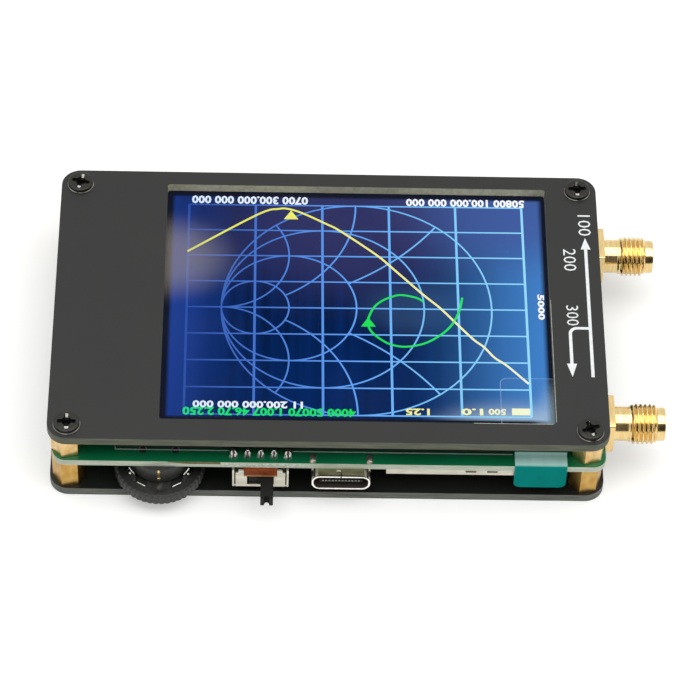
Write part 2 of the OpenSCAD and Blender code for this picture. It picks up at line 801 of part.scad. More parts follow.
module port_body(y) {
  thread_x1 = flange_t + port_neck_l + port_thread_l;
  bore_r = insulator_d / 2;
  barrel = concat(
    [[bore_r, 0], [port_neck_d / 2, 0], [port_neck_d / 2, flange_t + port_neck_l]],
    thread_outline(),
    [
      [port_tip_d / 2, thread_x1], [port_tip_d / 2, port_l - tip_lead],
      [port_tip_d / 2 - tip_lead / 2, port_l], [socket_d / 2, port_l],
      [socket_d / 2, port_l - socket_l], [bore_r, port_l - socket_l]
    ]
  );
  color("#e0b45c") translate([board_x1, y, port_z]) union() {
    rotate([0, 90, 0]) rotate_extrude() polygon(barrel);
    difference() {
      translate([0, -flange_w / 2, -flange_w / 2]) cube([flange_t, flange_w, flange_w]);
      rotate([0, 90, 0]) translate([0, 0, -over]) cylinder(r = bore_r, h = flange_t + 2 * over);
    }
    for (side = [-1, 1], z = [board_z1 - port_z, board_z0 - port_leg - port_z])
      translate([-port_leg_l, side * port_leg_y - port_leg / 2, z])
        cube([port_leg_l + flange_t / 2, port_leg, port_leg]);
  }
}

module far_port_body() {
  port_body(far_port_y);
}

module near_port_body() {
  port_body(near_port_y);
}

module at_ports() {
  for (y = [near_port_y, far_port_y]) translate([board_x1, y, port_z]) rotate([0, 90, 0]) children();
}

module port_insulators() {
  color("#f4f2ea") at_ports() difference() {
    cylinder(d = insulator_d, h = port_l - socket_l);
    translate([0, 0, -over]) cylinder(d = contact_d, h = port_l + over);
  }
}

module port_contacts() {
  color("#d8ad55") at_ports() difference() {
    union() {
      cylinder(d = contact_d, h = port_l - socket_l);
      translate([0, 0, -tail_l]) cylinder(d = tail_d, h = tail_l + over);
    }
    translate([0, 0, port_l - socket_l - contact_hole_l])
      cylinder(d = contact_hole_d, h = contact_hole_l + over);
  }
}

// The charging socket

module charge_outline(inset) {
  rounded(
    [-charge_w / 2 + inset, -charge_h / 2 + inset],
    [charge_w / 2 - inset, charge_h / 2 - inset],
    charge_r - inset
  );
}

module at_charge_legs() {
  for (x = [-charge_leg_x, charge_leg_x], y = [charge_leg_y, charge_leg_y + charge_leg_pitch])
    translate([charge_x + x, y, 0]) children();
}

// The front legs come up through the board, and the rear ones end in it, under the screen
module charge_shell() {
  color("#c4c2b8") union() {
    translate([charge_x, charge_y0 + charge_l, charge_z]) rotate([90, 0, 0]) difference() {
      linear_extrude(charge_l) charge_outline(0);
      translate([0, 0, charge_wall]) linear_extrude(charge_l) charge_outline(charge_wall);
    }
    at_charge_legs() block(
      [-charge_wall / 2, -charge_leg_w / 2, charge_z],
      [charge_wall / 2, charge_leg_w / 2, board_z1 - fit_clear]
    );
  }
}

module charge_tongue() {
  color("#20201f") translate([charge_x, 0, charge_z]) union() {
    translate([0, block_y1, 0]) rotate([90, 0, 0]) linear_extrude(tongue_block)
      charge_outline(charge_wall);
    block(
      [-tongue_w / 2, tongue_y0, -tongue_t / 2],
      [tongue_w / 2, block_y1 - tongue_block / 2, tongue_t / 2]
    );
  }
}

module charge_contacts() {
  first = -(charge_contacts_n - 1) / 2 * charge_contact_pitch;
  color("#d9b35e") for (i = [0:charge_contacts_n - 1], side = [0, 1])
    translate([charge_x + first + i * charge_contact_pitch, tongue_y0 + charge_contact_inset, charge_z])
      mirror([0, 0, side]) translate([-charge_contact_w / 2, 0, tongue_t / 2])
        cube([charge_contact_w, charge_contact_l, charge_contact_t]);
}

// The slide switch

module at_terminals() {
  for (i = [-1:1]) translate([switch_x + i * terminal_pitch, pin_y, 0]) children();
}

module at_switch_legs() {
  for (side = [-1, 1])
    translate([switch_x + side * (switch_w - switch_wall) / 2, pin_y, 0]) children();
}

module switch_shell() {
  half = switch_w / 2;
  color("#b9b4a6") union() {
    block([switch_x - half, switch_y0, switch_z0], [switch_x + half, switch_y1, switch_z0 + switch_wall]);
    difference() {
      block(
        [switch_x - shell_front_w / 2, switch_y0, switch_z0],
        [switch_x + shell_front_w / 2, switch_y0 + switch_wall, base_z0]
      );
      block(
        [switch_x - slot_w / 2, switch_y0 - over, switch_z0 + slot_lip],
        [switch_x + slot_w / 2, switch_y0 + over, base_z0 + over]
      );
    }
    block(
      [switch_x - half, switch_y1 - switch_wall, switch_z0], [switch_x + half, switch_y1, board_z0]
    );
    for (side = [-1, 1]) {
      translate([switch_x + side * (ear_x + ear_w / 2), 0, 0])
        block(
          [-ear_w / 2, switch_y0, base_z0 - over],
          [ear_w / 2, switch_y0 + switch_wall, board_z0 - fit_clear]
        );
      translate([switch_x + side * (half - switch_wall / 2), 0, 0])
        block([-switch_wall / 2, switch_y0, switch_z0], [switch_wall / 2, switch_y1, board_z0]);
    }
    at_switch_legs() block(
      [-switch_wall / 2, -switch_leg_w / 2, board_z0 - over],
      [switch_wall / 2, switch_leg_w / 2, board_z1 + leg_rise]
    );
  }
}

// The base stands forward between the ears, and is notched round them
module switch_base() {
  half = switch_w / 2 - switch_wall - fit_clear;
  nose = ear_x - fit_clear;
  color("#6e3216") difference() {
    union() {
      block(
        [switch_x - nose, switch_y0, base_z0],
        [switch_x + nose, switch_y1 - 2 * switch_wall, board_z0]
      );
      block(
        [switch_x - half, switch_y0 + switch_wall + fit_clear, base_z0],
        [switch_x + half, switch_y1 - switch_wall - fit_clear, board_z0]
      );
    }
    at_terminals() translate([0, 0, base_z0 - over]) cylinder(d = terminal_d, h = base_t + 2 * over);
  }
}

module switch_terminals() {
  color("#c9c7bf") at_terminals() translate([0, 0, base_z0])
    cylinder(d = terminal_d, h = base_t + board_t + terminal_rise);
}

// The black block runs behind the slot, and its lever comes out through it
module switch_slider() {
  y0 = switch_y0 + switch_wall + slider_clear;
  z0 = switch_z0 + switch_wall + slider_clear;
  tip_y = switch_y0 - lever_l;
  color("#1f201e") difference() {
    union() {
      block(
        [lever_rest_x - slider_w / 2, y0, z0],
        [lever_rest_x + slider_w / 2, y0 + slider_d, z0 + slider_h]
      );
      block(
        [lever_rest_x - lever_w / 2, tip_y, lever_z - lever_t / 2],
        [lever_rest_x + lever_w / 2, y0 + slider_d / 2, lever_z + lever_t / 2]
      );
    }
    translate([lever_rest_x, tip_y, lever_z - lever_t]) linear_extrude(2 * lever_t)
      polygon([
        [-lever_w / 4, -over], [lever_w / 4, -over], [lever_w / 4, 0], [0, lever_notch], [-lever_w / 4, 0]
      ]);
    wiper_box(lever_w + 2 * fit_clear, over);
  }
}

module wiper_box(w, rise) {
  y = switch_y0 + switch_wall + slider_clear + slider_d / 2;
  z1 = base_z0 - slider_clear;
  block(
    [lever_rest_x - w / 2, y - wiper_d / 2, z1 - wiper_h],
    [lever_rest_x + w / 2, y + wiper_d / 2, z1 + rise]
  );
}

module switch_wiper() {
  color("#cfcabb") wiper_box(lever_w, 0);
}

// The jog switch: a fixed housing, a carrier that slides in it and a wheel that turns on the carrier

module at_pegs() {
  for (side = [-1, 1]) translate([wheel_x + side * peg_pitch / 2, peg_y, 0]) children();
}

module jog_housing() {
  color("#2b2b2a") union() {
    difference() {
      translate([wheel_x, housing_y, housing_z0]) cylinder(d = housing_d, h = board_z0 - housing_z0);
      block(
        [wheel_x - slide_w / 2 - slide_clear, chamber_y0, chamber_z0],
        [wheel_x + slide_w / 2 + slide_clear, chamber_y1, chamber_z1]
      );
      block(
        [wheel_x - neck_w / 2 - slide_clear, chamber_y0, housing_z0 - over],
        [wheel_x + neck_w / 2 + slide_clear, chamber_y1, chamber_z1]
      );
    }
    at_pegs() translate([0, 0, board_z0 - roof_t / 2])
      cylinder(d = peg_d, h = roof_t / 2 + board_t - fit_clear);
  }
}

module jog_carrier() {
  y0 = wheel_y - slide_l / 2;
  y1 = wheel_y + slide_l / 2;
  axle_z0 = groove_z0 - axle_end;
  color("#393936") difference() {
    union() {
      block(
        [wheel_x - slide_w / 2, y0, chamber_z0 + slide_clear],
        [wheel_x + slide_w / 2, y1, chamber_z1 - slide_clear]
      );
      block([wheel_x - neck_w / 2, y0, housing_z0], [wheel_x + neck_w / 2, y1, chamber_z0 + lip_t / 2]);
      translate([wheel_x, wheel_y, axle_z0]) cylinder(d = axle_d, h = chamber_z0 - axle_z0);
    }
    translate([wheel_x, wheel_y, groove_z0]) difference() {
      cylinder(d = axle_d + over, h = washer_t);
      translate([0, 0, -over]) cylinder(d = axle_d - 2 * groove_depth, h = washer_t + 2 * over);
    }
  }
}

function tooth(i) =
  let (step = 360 / wheel_teeth, crest = wheel_d / 2, root = wheel_d / 2 - tooth_h)
  [
    for (p = [[0, root], [0.22, crest], [0.58, crest], [0.8, root]])
      p[1] * [cos((i + p[0]) * step), sin((i + p[0]) * step)]
  ];

// The wheel has a hub, one spoke towards the user and a pocket round the rest
module jog_wheel() {
  pocket_r = wheel_d / 2 - rim_w;
  color("#353533") translate([wheel_x, wheel_y, wheel_z0]) difference() {
    linear_extrude(wheel_t) polygon([for (i = [0:wheel_teeth - 1]) each tooth(i)]);
    translate([0, 0, wheel_t - pocket_h]) difference() {
      cylinder(r = pocket_r, h = pocket_h + over);
      translate([0, 0, -over]) cylinder(d = hub_d, h = pocket_h + 3 * over);
      block([-spoke_w / 2, -pocket_r - over, -over], [spoke_w / 2, 0, pocket_h + 2 * over]);
    }
    translate([0, 0, -over]) cylinder(d = axle_d + 2 * axle_clear, h = wheel_t + 2 * over);
  }
}

// A bent wire rides in the wheel's pocket: round the back of the hub, then along the rim to the spoke
module jog_spring() {
  gap = wire_d / 2 + fit_clear;
  hub_r = hub_d / 2 + gap;
  rim_r = wheel_d / 2 - rim_w - gap;
  spoke_a = asin((spoke_w / 2 + gap) / rim_r);
  z = wheel_z1 - pocket_h + gap;
  arc = [for (a = [-10:15:190]) hub_r * [cos(a), sin(a)]];
  right = [for (a = [-90 + spoke_a, -66, -52]) rim_r * [cos(a), sin(a)]];
  left = [for (a = [-128, -114, -90 - spoke_a]) rim_r * [cos(a), sin(a)]];
  color("#d5d3cc") translate([wheel_x, wheel_y, z])
    tube([for (p = concat(right, arc, left)) [p.x, p.y, 0]], wire_d, 8);
}

module jog_washer() {
  color("#a9a9a5") translate([wheel_x, wheel_y, groove_z0]) difference() {
    cylinder(d = washer_d, h = washer_t);
    translate([0, 0, -over]) cylinder(d = axle_d - 2 * groove_depth, h = washer_t + 2 * over);
  }
}

// Two side prongs and a front clip show on the housing, and a strip behind the carrier feels the push
module jog_contacts() {
  color("#cbbf9a") union() {
    for (side = [-1, 1]) translate([wheel_x, housing_y, housing_z0]) rotate(-90 + side * (90 - prong_angle))
      translate([housing_d / 2, -strip_t / 2, fit_clear]) cube([prong_l, strip_t, prong_h]);
    for (z = [housing_z0 + clip_rise, board_z0 - clip_drop])
      translate([wheel_x - clip_w / 2, housing_y - housing_d / 2 - strip_t, z])
        cube([clip_w, strip_t, clip_h]);
    block(
      [wheel_x - push_strip_w / 2, chamber_y1 - strip_t, chamber_z0],
      [wheel_x + push_strip_w / 2, chamber_y1, chamber_z1]
    );
  }
}

// Solder on the board's top, round the switch's terminals and legs and the socket's front legs
module solder_joints() {
  color("#cfcfc8") union() {
    at_terminals() translate([0, 0, board_z1]) difference() {
      cylinder(r1 = pin_joint_r, r2 = terminal_d / 2 + joint_neck, h = joint_h);
      translate([0, 0, -over]) cylinder(d = terminal_d, h = joint_h + 2 * over);
    }
    at_switch_legs() translate([0, 0, board_z1]) difference() {
      cylinder(r1 = leg_joint_r, r2 = switch_leg_w / 2 + joint_neck, h = joint_h);
      block(
        [-switch_wall / 2, -switch_leg_w / 2, -over], [switch_wall / 2, switch_leg_w / 2, leg_rise]
      );
    }
    for (x = [-charge_leg_x, charge_leg_x]) translate([charge_x + x, charge_leg_y, 0])
      slab(-charge_joint / 2, charge_joint / 2, charge_joint_r, board_z1, charge_joint_h);
  }
}

// The shield over the radio chips, under the board, notched where it reaches the standoffs

module clear_of_rear_standoffs() {
  difference() {
    children();
    at_holes() translate([0, 0, plate_t]) cylinder(r = standoff_r + standoff_clear, h = rear_gap);
  }
}

module shield_frame() {
  color("#c2c0b6") clear_of_rear_standoffs() difference() {
    block([shield_x0, shield_y0, shield_z0], [shield_x1, shield_y1, board_z0]);
    for (y = [[shield_y0, divider_y], [divider_y - shield_wall, shield_y1]])
      block(
        [shield_x0 + shield_wall, y[0] + shield_wall, shield_z0 - over],
        [shield_x1 - shield_wall, y[1] - shield_wall, board_z0 + over]
      );
  }
}

module shield_lid() {
  gap = lid_gap + shield_wall;
  z0 = shield_z0 - shield_wall;
  color("#b4b2a8") clear_of_rear_standoffs() difference() {
    block([shield_x0 - gap, shield_y0 - gap, z0], [shield_x1 + gap, shield_y1 + gap, shield_z0 + lid_rim]);
    block(
      [shield_x0 - lid_gap, shield_y0 - lid_gap, shield_z0],
      [shield_x1 + lid_gap, shield_y1 + lid_gap, shield_z0 + lid_rim + over]
    );
    for (x = [shield_mid, shield_mid + snap_pitch])
      block(
        [x - snap_w / 2, shield_y0 - gap - over, shield_z0 + lid_rim / 3],
        [x + snap_w / 2, shield_y0, shield_z0 + lid_rim / 3 + snap_h]
      );
  }
}

// A chip hangs from the board's underside, with a row of leads on two of its sides
module chip(at, size, leads = 0, pitch = fine_pitch) {
  lead_w = pitch / 2;
  translate([at.x, at.y, board_z0]) union() {
    block([-size.x / 2, -size.y / 2, -chip_h], [size.x / 2, size.y / 2, 0]);
    if (leads > 0) for (i = [0:leads - 1])
      translate([(i - (leads - 1) / 2) * pitch, 0, 0])
        block([-lead_w / 2, -size.y / 2 - lead_out, -lead_h], [lead_w / 2, size.y / 2 + lead_out, 0]);
  }
}

module processor() {
  size = [processor_w, processor_w];
  color("#222321") translate([battery_x0 + processor_at.x, battery_y0 + processor_at.y, 0]) union() {
    chip([0, 0], size, processor_leads);
    rotate(90) chip([0, 0], size, processor_leads);
  }
}

module mixer_chips() {
  color("#262724") for (i = [0:2])
    chip([shield_x0, shield_y0 + i * mixer_step] + mixer_at, mixer_size, mixer_leads, mixer_lead_pitch);
}

module clock_chip() {
  color("#252624") chip([shield_mid, shield_y0] + clock_at, clock_size, clock_leads);
}

module codec_chip() {
  color("#242523") chip([shield_mid, divider_y] + codec_at, codec_size);
}

module reference_oscillator() {
  color("#c9c5b4") chip([shield_mid, shield_y0] + oscillator_at, oscillator_size);
}

module charger_chip() {
  color("#242523") chip([charge_x, charge_y0 + charge_l + charger_at], charger_size, 3, charger_lead_pitch);
}

module passives() {
  color("#a98b66") union() {
    for (i = [0:5], j = [0:1])
      chip([battery_x0 + i * passive_step, battery_y0 + j * passive_row] + passive_at, passive_size);
    for (i = [0:4]) chip([shield_mid + i * passive_step, divider_y] + radio_passive_at, passive_size);
  }
}

// The battery on the rear plate, and its leads to the board

module battery_pad() {
  color("#d6d2c4") block(
    [battery_x0 + pad_inset, battery_y0 + pad_inset, plate_t],
    [battery_x1 - pad_inset, battery_y1 - pad_inset, battery_z0]
  );
}

module battery_cell() {
  color("#9fa3a6") slab(
    [battery_x0, battery_y0], [battery_x1, battery_y1], battery_r, battery_z0, battery_t
  );
}

module battery_guard() {
  color("#b98a2c") block(
    [battery_x0 + guard_inset, battery_y1, battery_z0],
    [battery_x1 - guard_inset, guard_y1, battery_z0 + guard_h]
  );
}

module battery_red_lead() {
  color("#b02a20") tube(lead_route(lead_pitch / 2, -lead_pitch / 2), lead_d, 8);
}

module battery_black_lead() {
  color("#1c1c1c") tube(lead_route(-lead_pitch / 2, lead_pitch / 2), lead_d, 8);
}

module battery_plug() {
  color("#efece2") block(
    [plug_x1 - plug_l, plug_y - plug_w / 2, plug_z - plug_h / 2],
    [plug_x1, plug_y + plug_w / 2, plug_z + plug_h / 2]
  );
}

module battery_socket() {
  color("#e6e2d6") block(
    [plug_x1, plug_y - socket_depth / 2, board_z0 - socket_h],
    [plug_x1 + socket_w, plug_y + socket_depth / 2, board_z0]
  );
}

front_plate();
rear_plate();
main_board();
front_standoffs();
rear_standoffs();
front_screws();
rear_screws();
screen_tape();
screen_tray();
light_guide();
screen_cell();
screen_ribbon();
touch_panel();
protective_film();
pull_tab();
far_port_body();
near_port_body();
port_insulators();
port_contacts();
charge_shell();
charge_tongue();
charge_contacts();
switch_shell();
switch_base();
switch_terminals();
switch_slider();
switch_wiper();
jog_housing();
jog_carrier();
jog_wheel();
jog_spring();
jog_washer();
jog_contacts();
solder_joints();
shield_frame();
shield_lid();
processor();
mixer_chips();
clock_chip();
codec_chip();
reference_oscillator();
charger_chip();
passives();
battery_pad();
battery_cell();
battery_guard();
battery_red_lead();
battery_black_lead();
battery_plug();
battery_socket();
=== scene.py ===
import math

import bmesh
import bpy
from mathutils import Matrix, Vector, noise


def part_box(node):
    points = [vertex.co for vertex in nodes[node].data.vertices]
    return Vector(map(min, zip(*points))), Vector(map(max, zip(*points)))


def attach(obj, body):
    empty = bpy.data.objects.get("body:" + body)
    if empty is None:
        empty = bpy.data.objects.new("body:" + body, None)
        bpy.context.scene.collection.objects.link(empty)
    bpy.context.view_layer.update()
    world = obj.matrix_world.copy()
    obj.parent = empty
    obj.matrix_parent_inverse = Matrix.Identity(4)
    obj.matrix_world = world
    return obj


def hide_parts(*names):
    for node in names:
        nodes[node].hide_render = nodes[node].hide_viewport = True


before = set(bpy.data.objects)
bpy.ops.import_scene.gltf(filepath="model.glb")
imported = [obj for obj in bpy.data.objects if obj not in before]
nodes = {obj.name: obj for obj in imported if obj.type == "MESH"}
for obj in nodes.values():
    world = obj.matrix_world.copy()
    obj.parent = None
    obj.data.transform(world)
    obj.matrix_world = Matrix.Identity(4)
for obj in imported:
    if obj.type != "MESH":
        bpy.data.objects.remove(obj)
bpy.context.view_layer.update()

# Every size below is in millimetres, in the frame's own axes; MM turns it to metres
MM = 0.001
# Without a seed, Blender's vector noise follows the clock
noise.seed_set(7)


# Sizes and places that come from the frame

def extent(node):
    """The lowest and highest corners of a CAD node, in millimetres."""
    low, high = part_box(node)
    return low / MM, high / MM


def solids(node):
    """The corners of each separate solid in a CAD node, in millimetres, from left to right."""
    mesh = bmesh.new()
    mesh.from_mesh(nodes[node].data)
    bmesh.ops.remove_doubles(mesh, verts=mesh.verts, dist=1e-6)
    boxes, seen = [], set()
    for start in mesh.verts:
        if start in seen:
            continue
        seen.add(start)
        ahead, group = [start], []
        while ahead:
            vert = ahead.pop()
            group.append(vert.co / MM)
            for edge in vert.link_edges:
                other = edge.other_vert(vert)
                if other not in seen:
                    seen.add(other)
                    ahead.append(other)
        low = Vector([min(p[axis] for p in group) for axis in range(3)])
        high = Vector([max(p[axis] for p in group) for axis in range(3)])
        boxes.append((low, high))
    mesh.free()
    return sorted(boxes, key=lambda box: (round(box[0].x, 2), box[0].y))


plate_low, plate_high = extent("front_plate")
board_low, board_high = extent("main_board")
film_low, film_high = extent("protective_film")
tab_low, tab_high = extent("pull_tab")
wheel_low, wheel_high = extent("jog_wheel")
shell_low, shell_high = extent("switch_shell")
socket_low, socket_high = extent("charge_shell")
touch_top = extent("touch_panel")[1].z
plate_top = plate_high.z
board_top = board_high.z
front_edge = plate_low.y


# Mesh shapes: each is a list of points and a list of faces, in millimetres

def loft(rings, wrap=False):
    """A closed skin through rings of equally many points. Its ends are capped, unless wrap joins them."""
    count = len(rings[0])
    verts = [tuple(point) for ring in rings for point in ring]
    faces = []
    for i in range(len(rings) if wrap else len(rings) - 1):
        here, there = i * count, (i + 1) % len(rings) * count
        for k in range(count):
            side = (k + 1) % count
            faces.append((here + k, here + side, there + side, there + k))
    if not wrap:
        last = (len(rings) - 1) * count
        faces.append(tuple(range(count))[::-1])
        faces.append(tuple(range(last, last + count)))
    return verts, faces


def prism(outline, z0, z1):
    """An outline of (x, y) points raised from z0 to z1."""
    return loft([[(x, y, z) for x, y in outline] for z in (z0, z1)])


def block(low, high):
    """A plain block between two corners, for use within a larger shape."""
    corners = [(low[0], low[1]), (high[0], low[1]), (high[0], high[1]), (low[0], high[1])]
    return prism(corners, low[2], high[2])


def lathe(profile, steps=48):
    """A solid turned about Z from a closed outline of (radius, height) points."""
    rings = []
    for step in range(steps):
        turn = 2 * math.pi * step / steps
        rings.append([(r * math.cos(turn), r * math.sin(turn), z) for r, z in profile])
    return loft(rings, wrap=True)


def tube(path, radius, sides=12):
    """A round wire along a path, none of whose stretches stands upright."""
    rings, last = [], len(path) - 1
    for i, point in enumerate(path):
        ahead = (Vector(path[min(i + 1, last)]) - Vector(path[max(i - 1, 0)])).normalized()
        side = ahead.cross(Vector((0, 0, 1))).normalized()
        up = side.cross(ahead)
        turns = [2 * math.pi * k / sides for k in range(sides)]
        rings.append([Vector(point) + radius * (math.cos(t) * side + math.sin(t) * up) for t in turns])
    return loft(rings)


def ribbon(points, width, z0, z1, wrap=False):
    """A flat strip of one width along (x, y) points."""
    rings, count = [], len(points)
    for i, (x, y) in enumerate(points):
        before = points[i - 1] if wrap or i else points[i]
        after = points[(i + 1) % count] if wrap or i < count - 1 else points[i]
        along = Vector((after[0] - before[0], after[1] - before[1])).normalized()
        dx, dy = -along.y * width / 2, along.x * width / 2
        right, left = (x - dx, y - dy), (x + dx, y + dy)
        rings.append([(*right, z0), (*left, z0), (*left, z1), (*right, z1)])
    return loft(rings, wrap)


def arc(centre, radius, start, end, steps=48):
    """Points (x, y) along an arc, from one angle to another in degrees."""
    turns = [math.radians(start + (end - start) * i / steps) for i in range(steps + 1)]
    return [(centre[0] + radius * math.cos(t), centre[1] + radius * math.sin(t)) for t in turns]


def rounded_outline(low, high, radius, steps=6):
    """The outline of a rectangle with round corners."""
    x0, y0, x1, y1 = low[0] + radius, low[1] + radius, high[0] - radius, high[1] - radius
    corners = [((x1, y0), -90), ((x1, y1), 0), ((x0, y1), 90), ((x0, y0), 180)]
    return [p for centre, start in corners for p in arc(centre, radius, start, start + 90, steps)]


def smooth_path(points, steps=8):
    """More points along a path, on a smooth curve through the given ones."""
    points = [Vector(p) for p in points]
    path = []
    for i in range(len(points) - 1):
        p0, p1, p2 = points[max(i - 1, 0)], points[i], points[i + 1]
        p3 = points[min(i + 2, len(points) - 1)]
        for step in range(steps):
            t = step / steps
            bend = 2 * p0 - 5 * p1 + 4 * p2 - p3
            twist = -p0 + 3 * p1 - 3 * p2 + p3
            path.append(0.5 * (2 * p1 + (p2 - p0) * t + bend * t * t + twist * t * t * t))
    return path + [points[-1]]


def join(*shapes):
    """Several shapes as one."""
    verts, faces = [], []
    for more_verts, more_faces in shapes:
        start = len(verts)
        verts += more_verts
        faces += [tuple(start + i for i in face) for face in more_faces]
    return verts, faces


def placed(shape, at=(0, 0, 0), turn=0, axis="Z"):
    """A shape turned about an axis, in degrees, and then moved."""
    matrix = Matrix.Translation(Vector(at)) @ Matrix.Rotation(math.radians(turn), 4, axis)
    return [tuple(matrix @ Vector(v)) for v in shape[0]], shape[1]


def mesh_of(name, shape):
    """A Blender mesh of a shape, with its doubled points merged and its faces turned outwards."""
    made = bmesh.new()
    verts = [made.verts.new(v) for v in shape[0]]
    for face in shape[1]:
        made.faces.new([verts[i] for i in face])
    bmesh.ops.remove_doubles(made, verts=made.verts, dist=1e-4)
    bmesh.ops.recalc_face_normals(made, faces=made.faces)
    mesh = bpy.data.meshes.new(name)
    made.to_mesh(mesh)
    made.free()
    return mesh


def evaluated_mesh(item):
    """The mesh of an object after its modifiers."""
    return bpy.data.meshes.new_from_object(item.evaluated_get(bpy.context.evaluated_depsgraph_get()))


def combined(shape, tool, how="DIFFERENCE"):
    """One shape with another cut out of it, or fused to it with how set to UNION."""
    objects = [bpy.data.objects.new("shape", mesh_of("shape", part)) for part in (shape, tool)]
    for item in objects:
        bpy.context.scene.collection.objects.link(item)
    step = objects[0].modifiers.new("combine", "BOOLEAN")
    step.operation = how
    step.solver = "EXACT"
    step.object = objects[1]
    result = evaluated_mesh(objects[0])
    shape = [tuple(v.co) for v in result.vertices], [tuple(p.vertices) for p in result.polygons]
    for item in objects:
        bpy.data.meshes.remove(item.data)
    bpy.data.meshes.remove(result)
    return shape


def fused(*shapes):
    """Several shapes fused into one solid."""
    whole = shapes[0]
    for shape in shapes[1:]:
        whole = combined(whole, shape, "UNION")
    return whole


def rough(shape, size, depth):
    """A shape whose points are pushed about by smooth noise of that grain size."""
    return [tuple(Vector(v) + depth * noise.noise_vector(Vector(v) / size)) for v in shape[0]], shape[1]


def numerals(text, low, high, z0, z1, turn, weight):
    """Digits of the built-in font in a box on the plane at z0, turned 90 or 180 degrees clockwise."""
    curve = bpy.data.curves.new("numerals", "FONT")
    curve.body = text
    curve.offset = weight
    curve.extrude = 0.5
    curve.resolution_u = 2
    item = bpy.data.objects.new("numerals", curve)
    bpy.context.scene.collection.objects.link(item)
    mesh = evaluated_mesh(item)
    points = [v.co.copy() for v in mesh.vertices]
    faces = [tuple(p.vertices) for p in mesh.polygons]
    bpy.data.curves.remove(curve)
    bpy.data.meshes.remove(mesh)
    least = [min(p[i] for p in points) for i in range(3)]
    size = [max(p[i] for p in points) - least[i] for i in range(3)]
    verts = []
    for p in points:
        u, v, w = [(p[i] - least[i]) / size[i] for i in range(3)]
        across, along = (v, 1 - u) if turn == 90 else (1 - u, 1 - v)
        verts.append((
            low[0] + across * (high[0] - low[0]),
            low[1] + along * (high[1] - low[1]),
            z0 + w * (z1 - z0),
        ))
    return verts, faces


# Pieces and CAD nodes

def soften(item, width):
    """Rounds an object's sharp edges by that width."""
    edge = item.modifiers.new("rounded_edges", "BEVEL")
    edge.width = width * MM
    edge.segments = 2
    edge.limit_method = "ANGLE"
    edge.angle_limit = math.radians(35)
    edge.harden_normals = True


def piece(name, shape, finish=None, body="chassis", stands_for=(), slot=None, bevel=0, smooth=35):
    """Adds one piece of the object, which rides on a body and may stand for CAD nodes. Its finish is a
    material, or else its slot's own."""
    mesh = mesh_of(name, shape)
    mesh.transform(Matrix.Scale(MM, 4))
    mesh.polygons.foreach_set("use_smooth", [True] * len(mesh.polygons))
    mesh.set_sharp_from_angle(angle=math.radians(smooth))
    mesh.materials.append(finish or FINISH[slot])
    made = bpy.data.objects.new(name, mesh)
    bpy.context.scene.collection.objects.link(made)
    if bevel:
        soften(made, bevel)
    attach(made, body)
    if stands_for:
        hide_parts(*stands_for)
    return made


def paint(item, finish, chosen):
    """Gives a piece's faces another finish where their centres, in millimetres, pass a test."""
    item.data.materials.append(finish)
    for face in item.data.polygons:
        if chosen(face.center / MM):
            face.material_index = len(item.data.materials) - 1


def dress(node, slot, bevel=0, finish=None):
    """Gives a CAD node its slot's finish or one of its own, and rounds its edges by the bevel."""
    item = nodes[node]
    item.data.materials.clear()
    item.data.materials.append(finish or FINISH[slot])
    if bevel:
        weld = item.modifiers.new("weld", "WELD")
        weld.merge_threshold = 1e-6
        soften(item, bevel)


# Materials: one function adds a node, and one starts a material

def linear(colour):
    """An sRGB hex colour as linear RGBA."""
    parts = [int(colour[i:i + 2], 16) / 255 for i in (1, 3, 5)]
    return [c / 12.92 if c <= 0.04045 else ((c + 0.055) / 1.055) ** 2.4 for c in parts] + [1]


def add(tree, kind, inputs=None, stops=None, **settings):
    """Adds a node with its settings. Inputs are values or other nodes' outputs, and stops fill a ramp."""
    node = tree.nodes.new("ShaderNode" + kind)
    for key, value in settings.items():
        setattr(node, key, value)
    for key, value in (inputs or {}).items():
        if isinstance(value, bpy.types.NodeSocket):
            tree.links.new(value, node.inputs[key])
        else:
            node.inputs[key].default_value = value
    if stops:
        ramp = node.color_ramp.elements
        while len(ramp) < len(stops):
            ramp.new(1)
        for element, (position, colour) in zip(ramp, stops):
            element.position = position
            element.color = linear(colour)
    return node


def cycles(size):
    """The texture scale of a pattern whose features are that many millimetres apart."""
    return 1 / (size * MM)


def material(name, sockets):
    """A new material with these values on its shader: the material, its tree, shader and coordinates."""
    made = bpy.data.materials.new(name)
    made.use_nodes = True
    tree = made.node_tree
    shader = tree.nodes["Principled BSDF"]
    for key, value in sockets.items():
        shader.inputs[key].default_value = value
    return made, tree, shader, add(tree, "TexCoord")


def plain_finish(name, sockets, shades, grain, relief, stretch=(1, 1, 1), dull=0):
    """A material with colour, roughness and relief varied by one noise of that grain, in millimetres."""
    made, tree, shader, coords = material(name, sockets)
    spread = add(tree, "Mapping", {"Vector": coords.outputs["Object"], "Scale": stretch})
    mottle = add(tree, "TexNoise", {"Vector": spread.outputs[0], "Scale": cycles(grain), "Detail": 4})
    ramp = add(tree, "ValToRGB", {"Fac": mottle.outputs[0]}, stops=[(0.3, shades[0]), (0.7, shades[1])])
    tree.links.new(ramp.outputs[0], shader.inputs["Base Color"])
    level = shader.inputs["Roughness"].default_value
    sheen = {"Value": mottle.outputs[0], "To Min": level - dull, "To Max": level + dull}
    sheen = add(tree, "MapRange", sheen)
    tree.links.new(sheen.outputs[0], shader.inputs["Roughness"])
    bump = add(tree, "Bump", {"Height": mottle.outputs[0], "Distance": relief * MM, "Strength": 1})
    tree.links.new(bump.outputs[0], shader.inputs["Normal"])
    return made


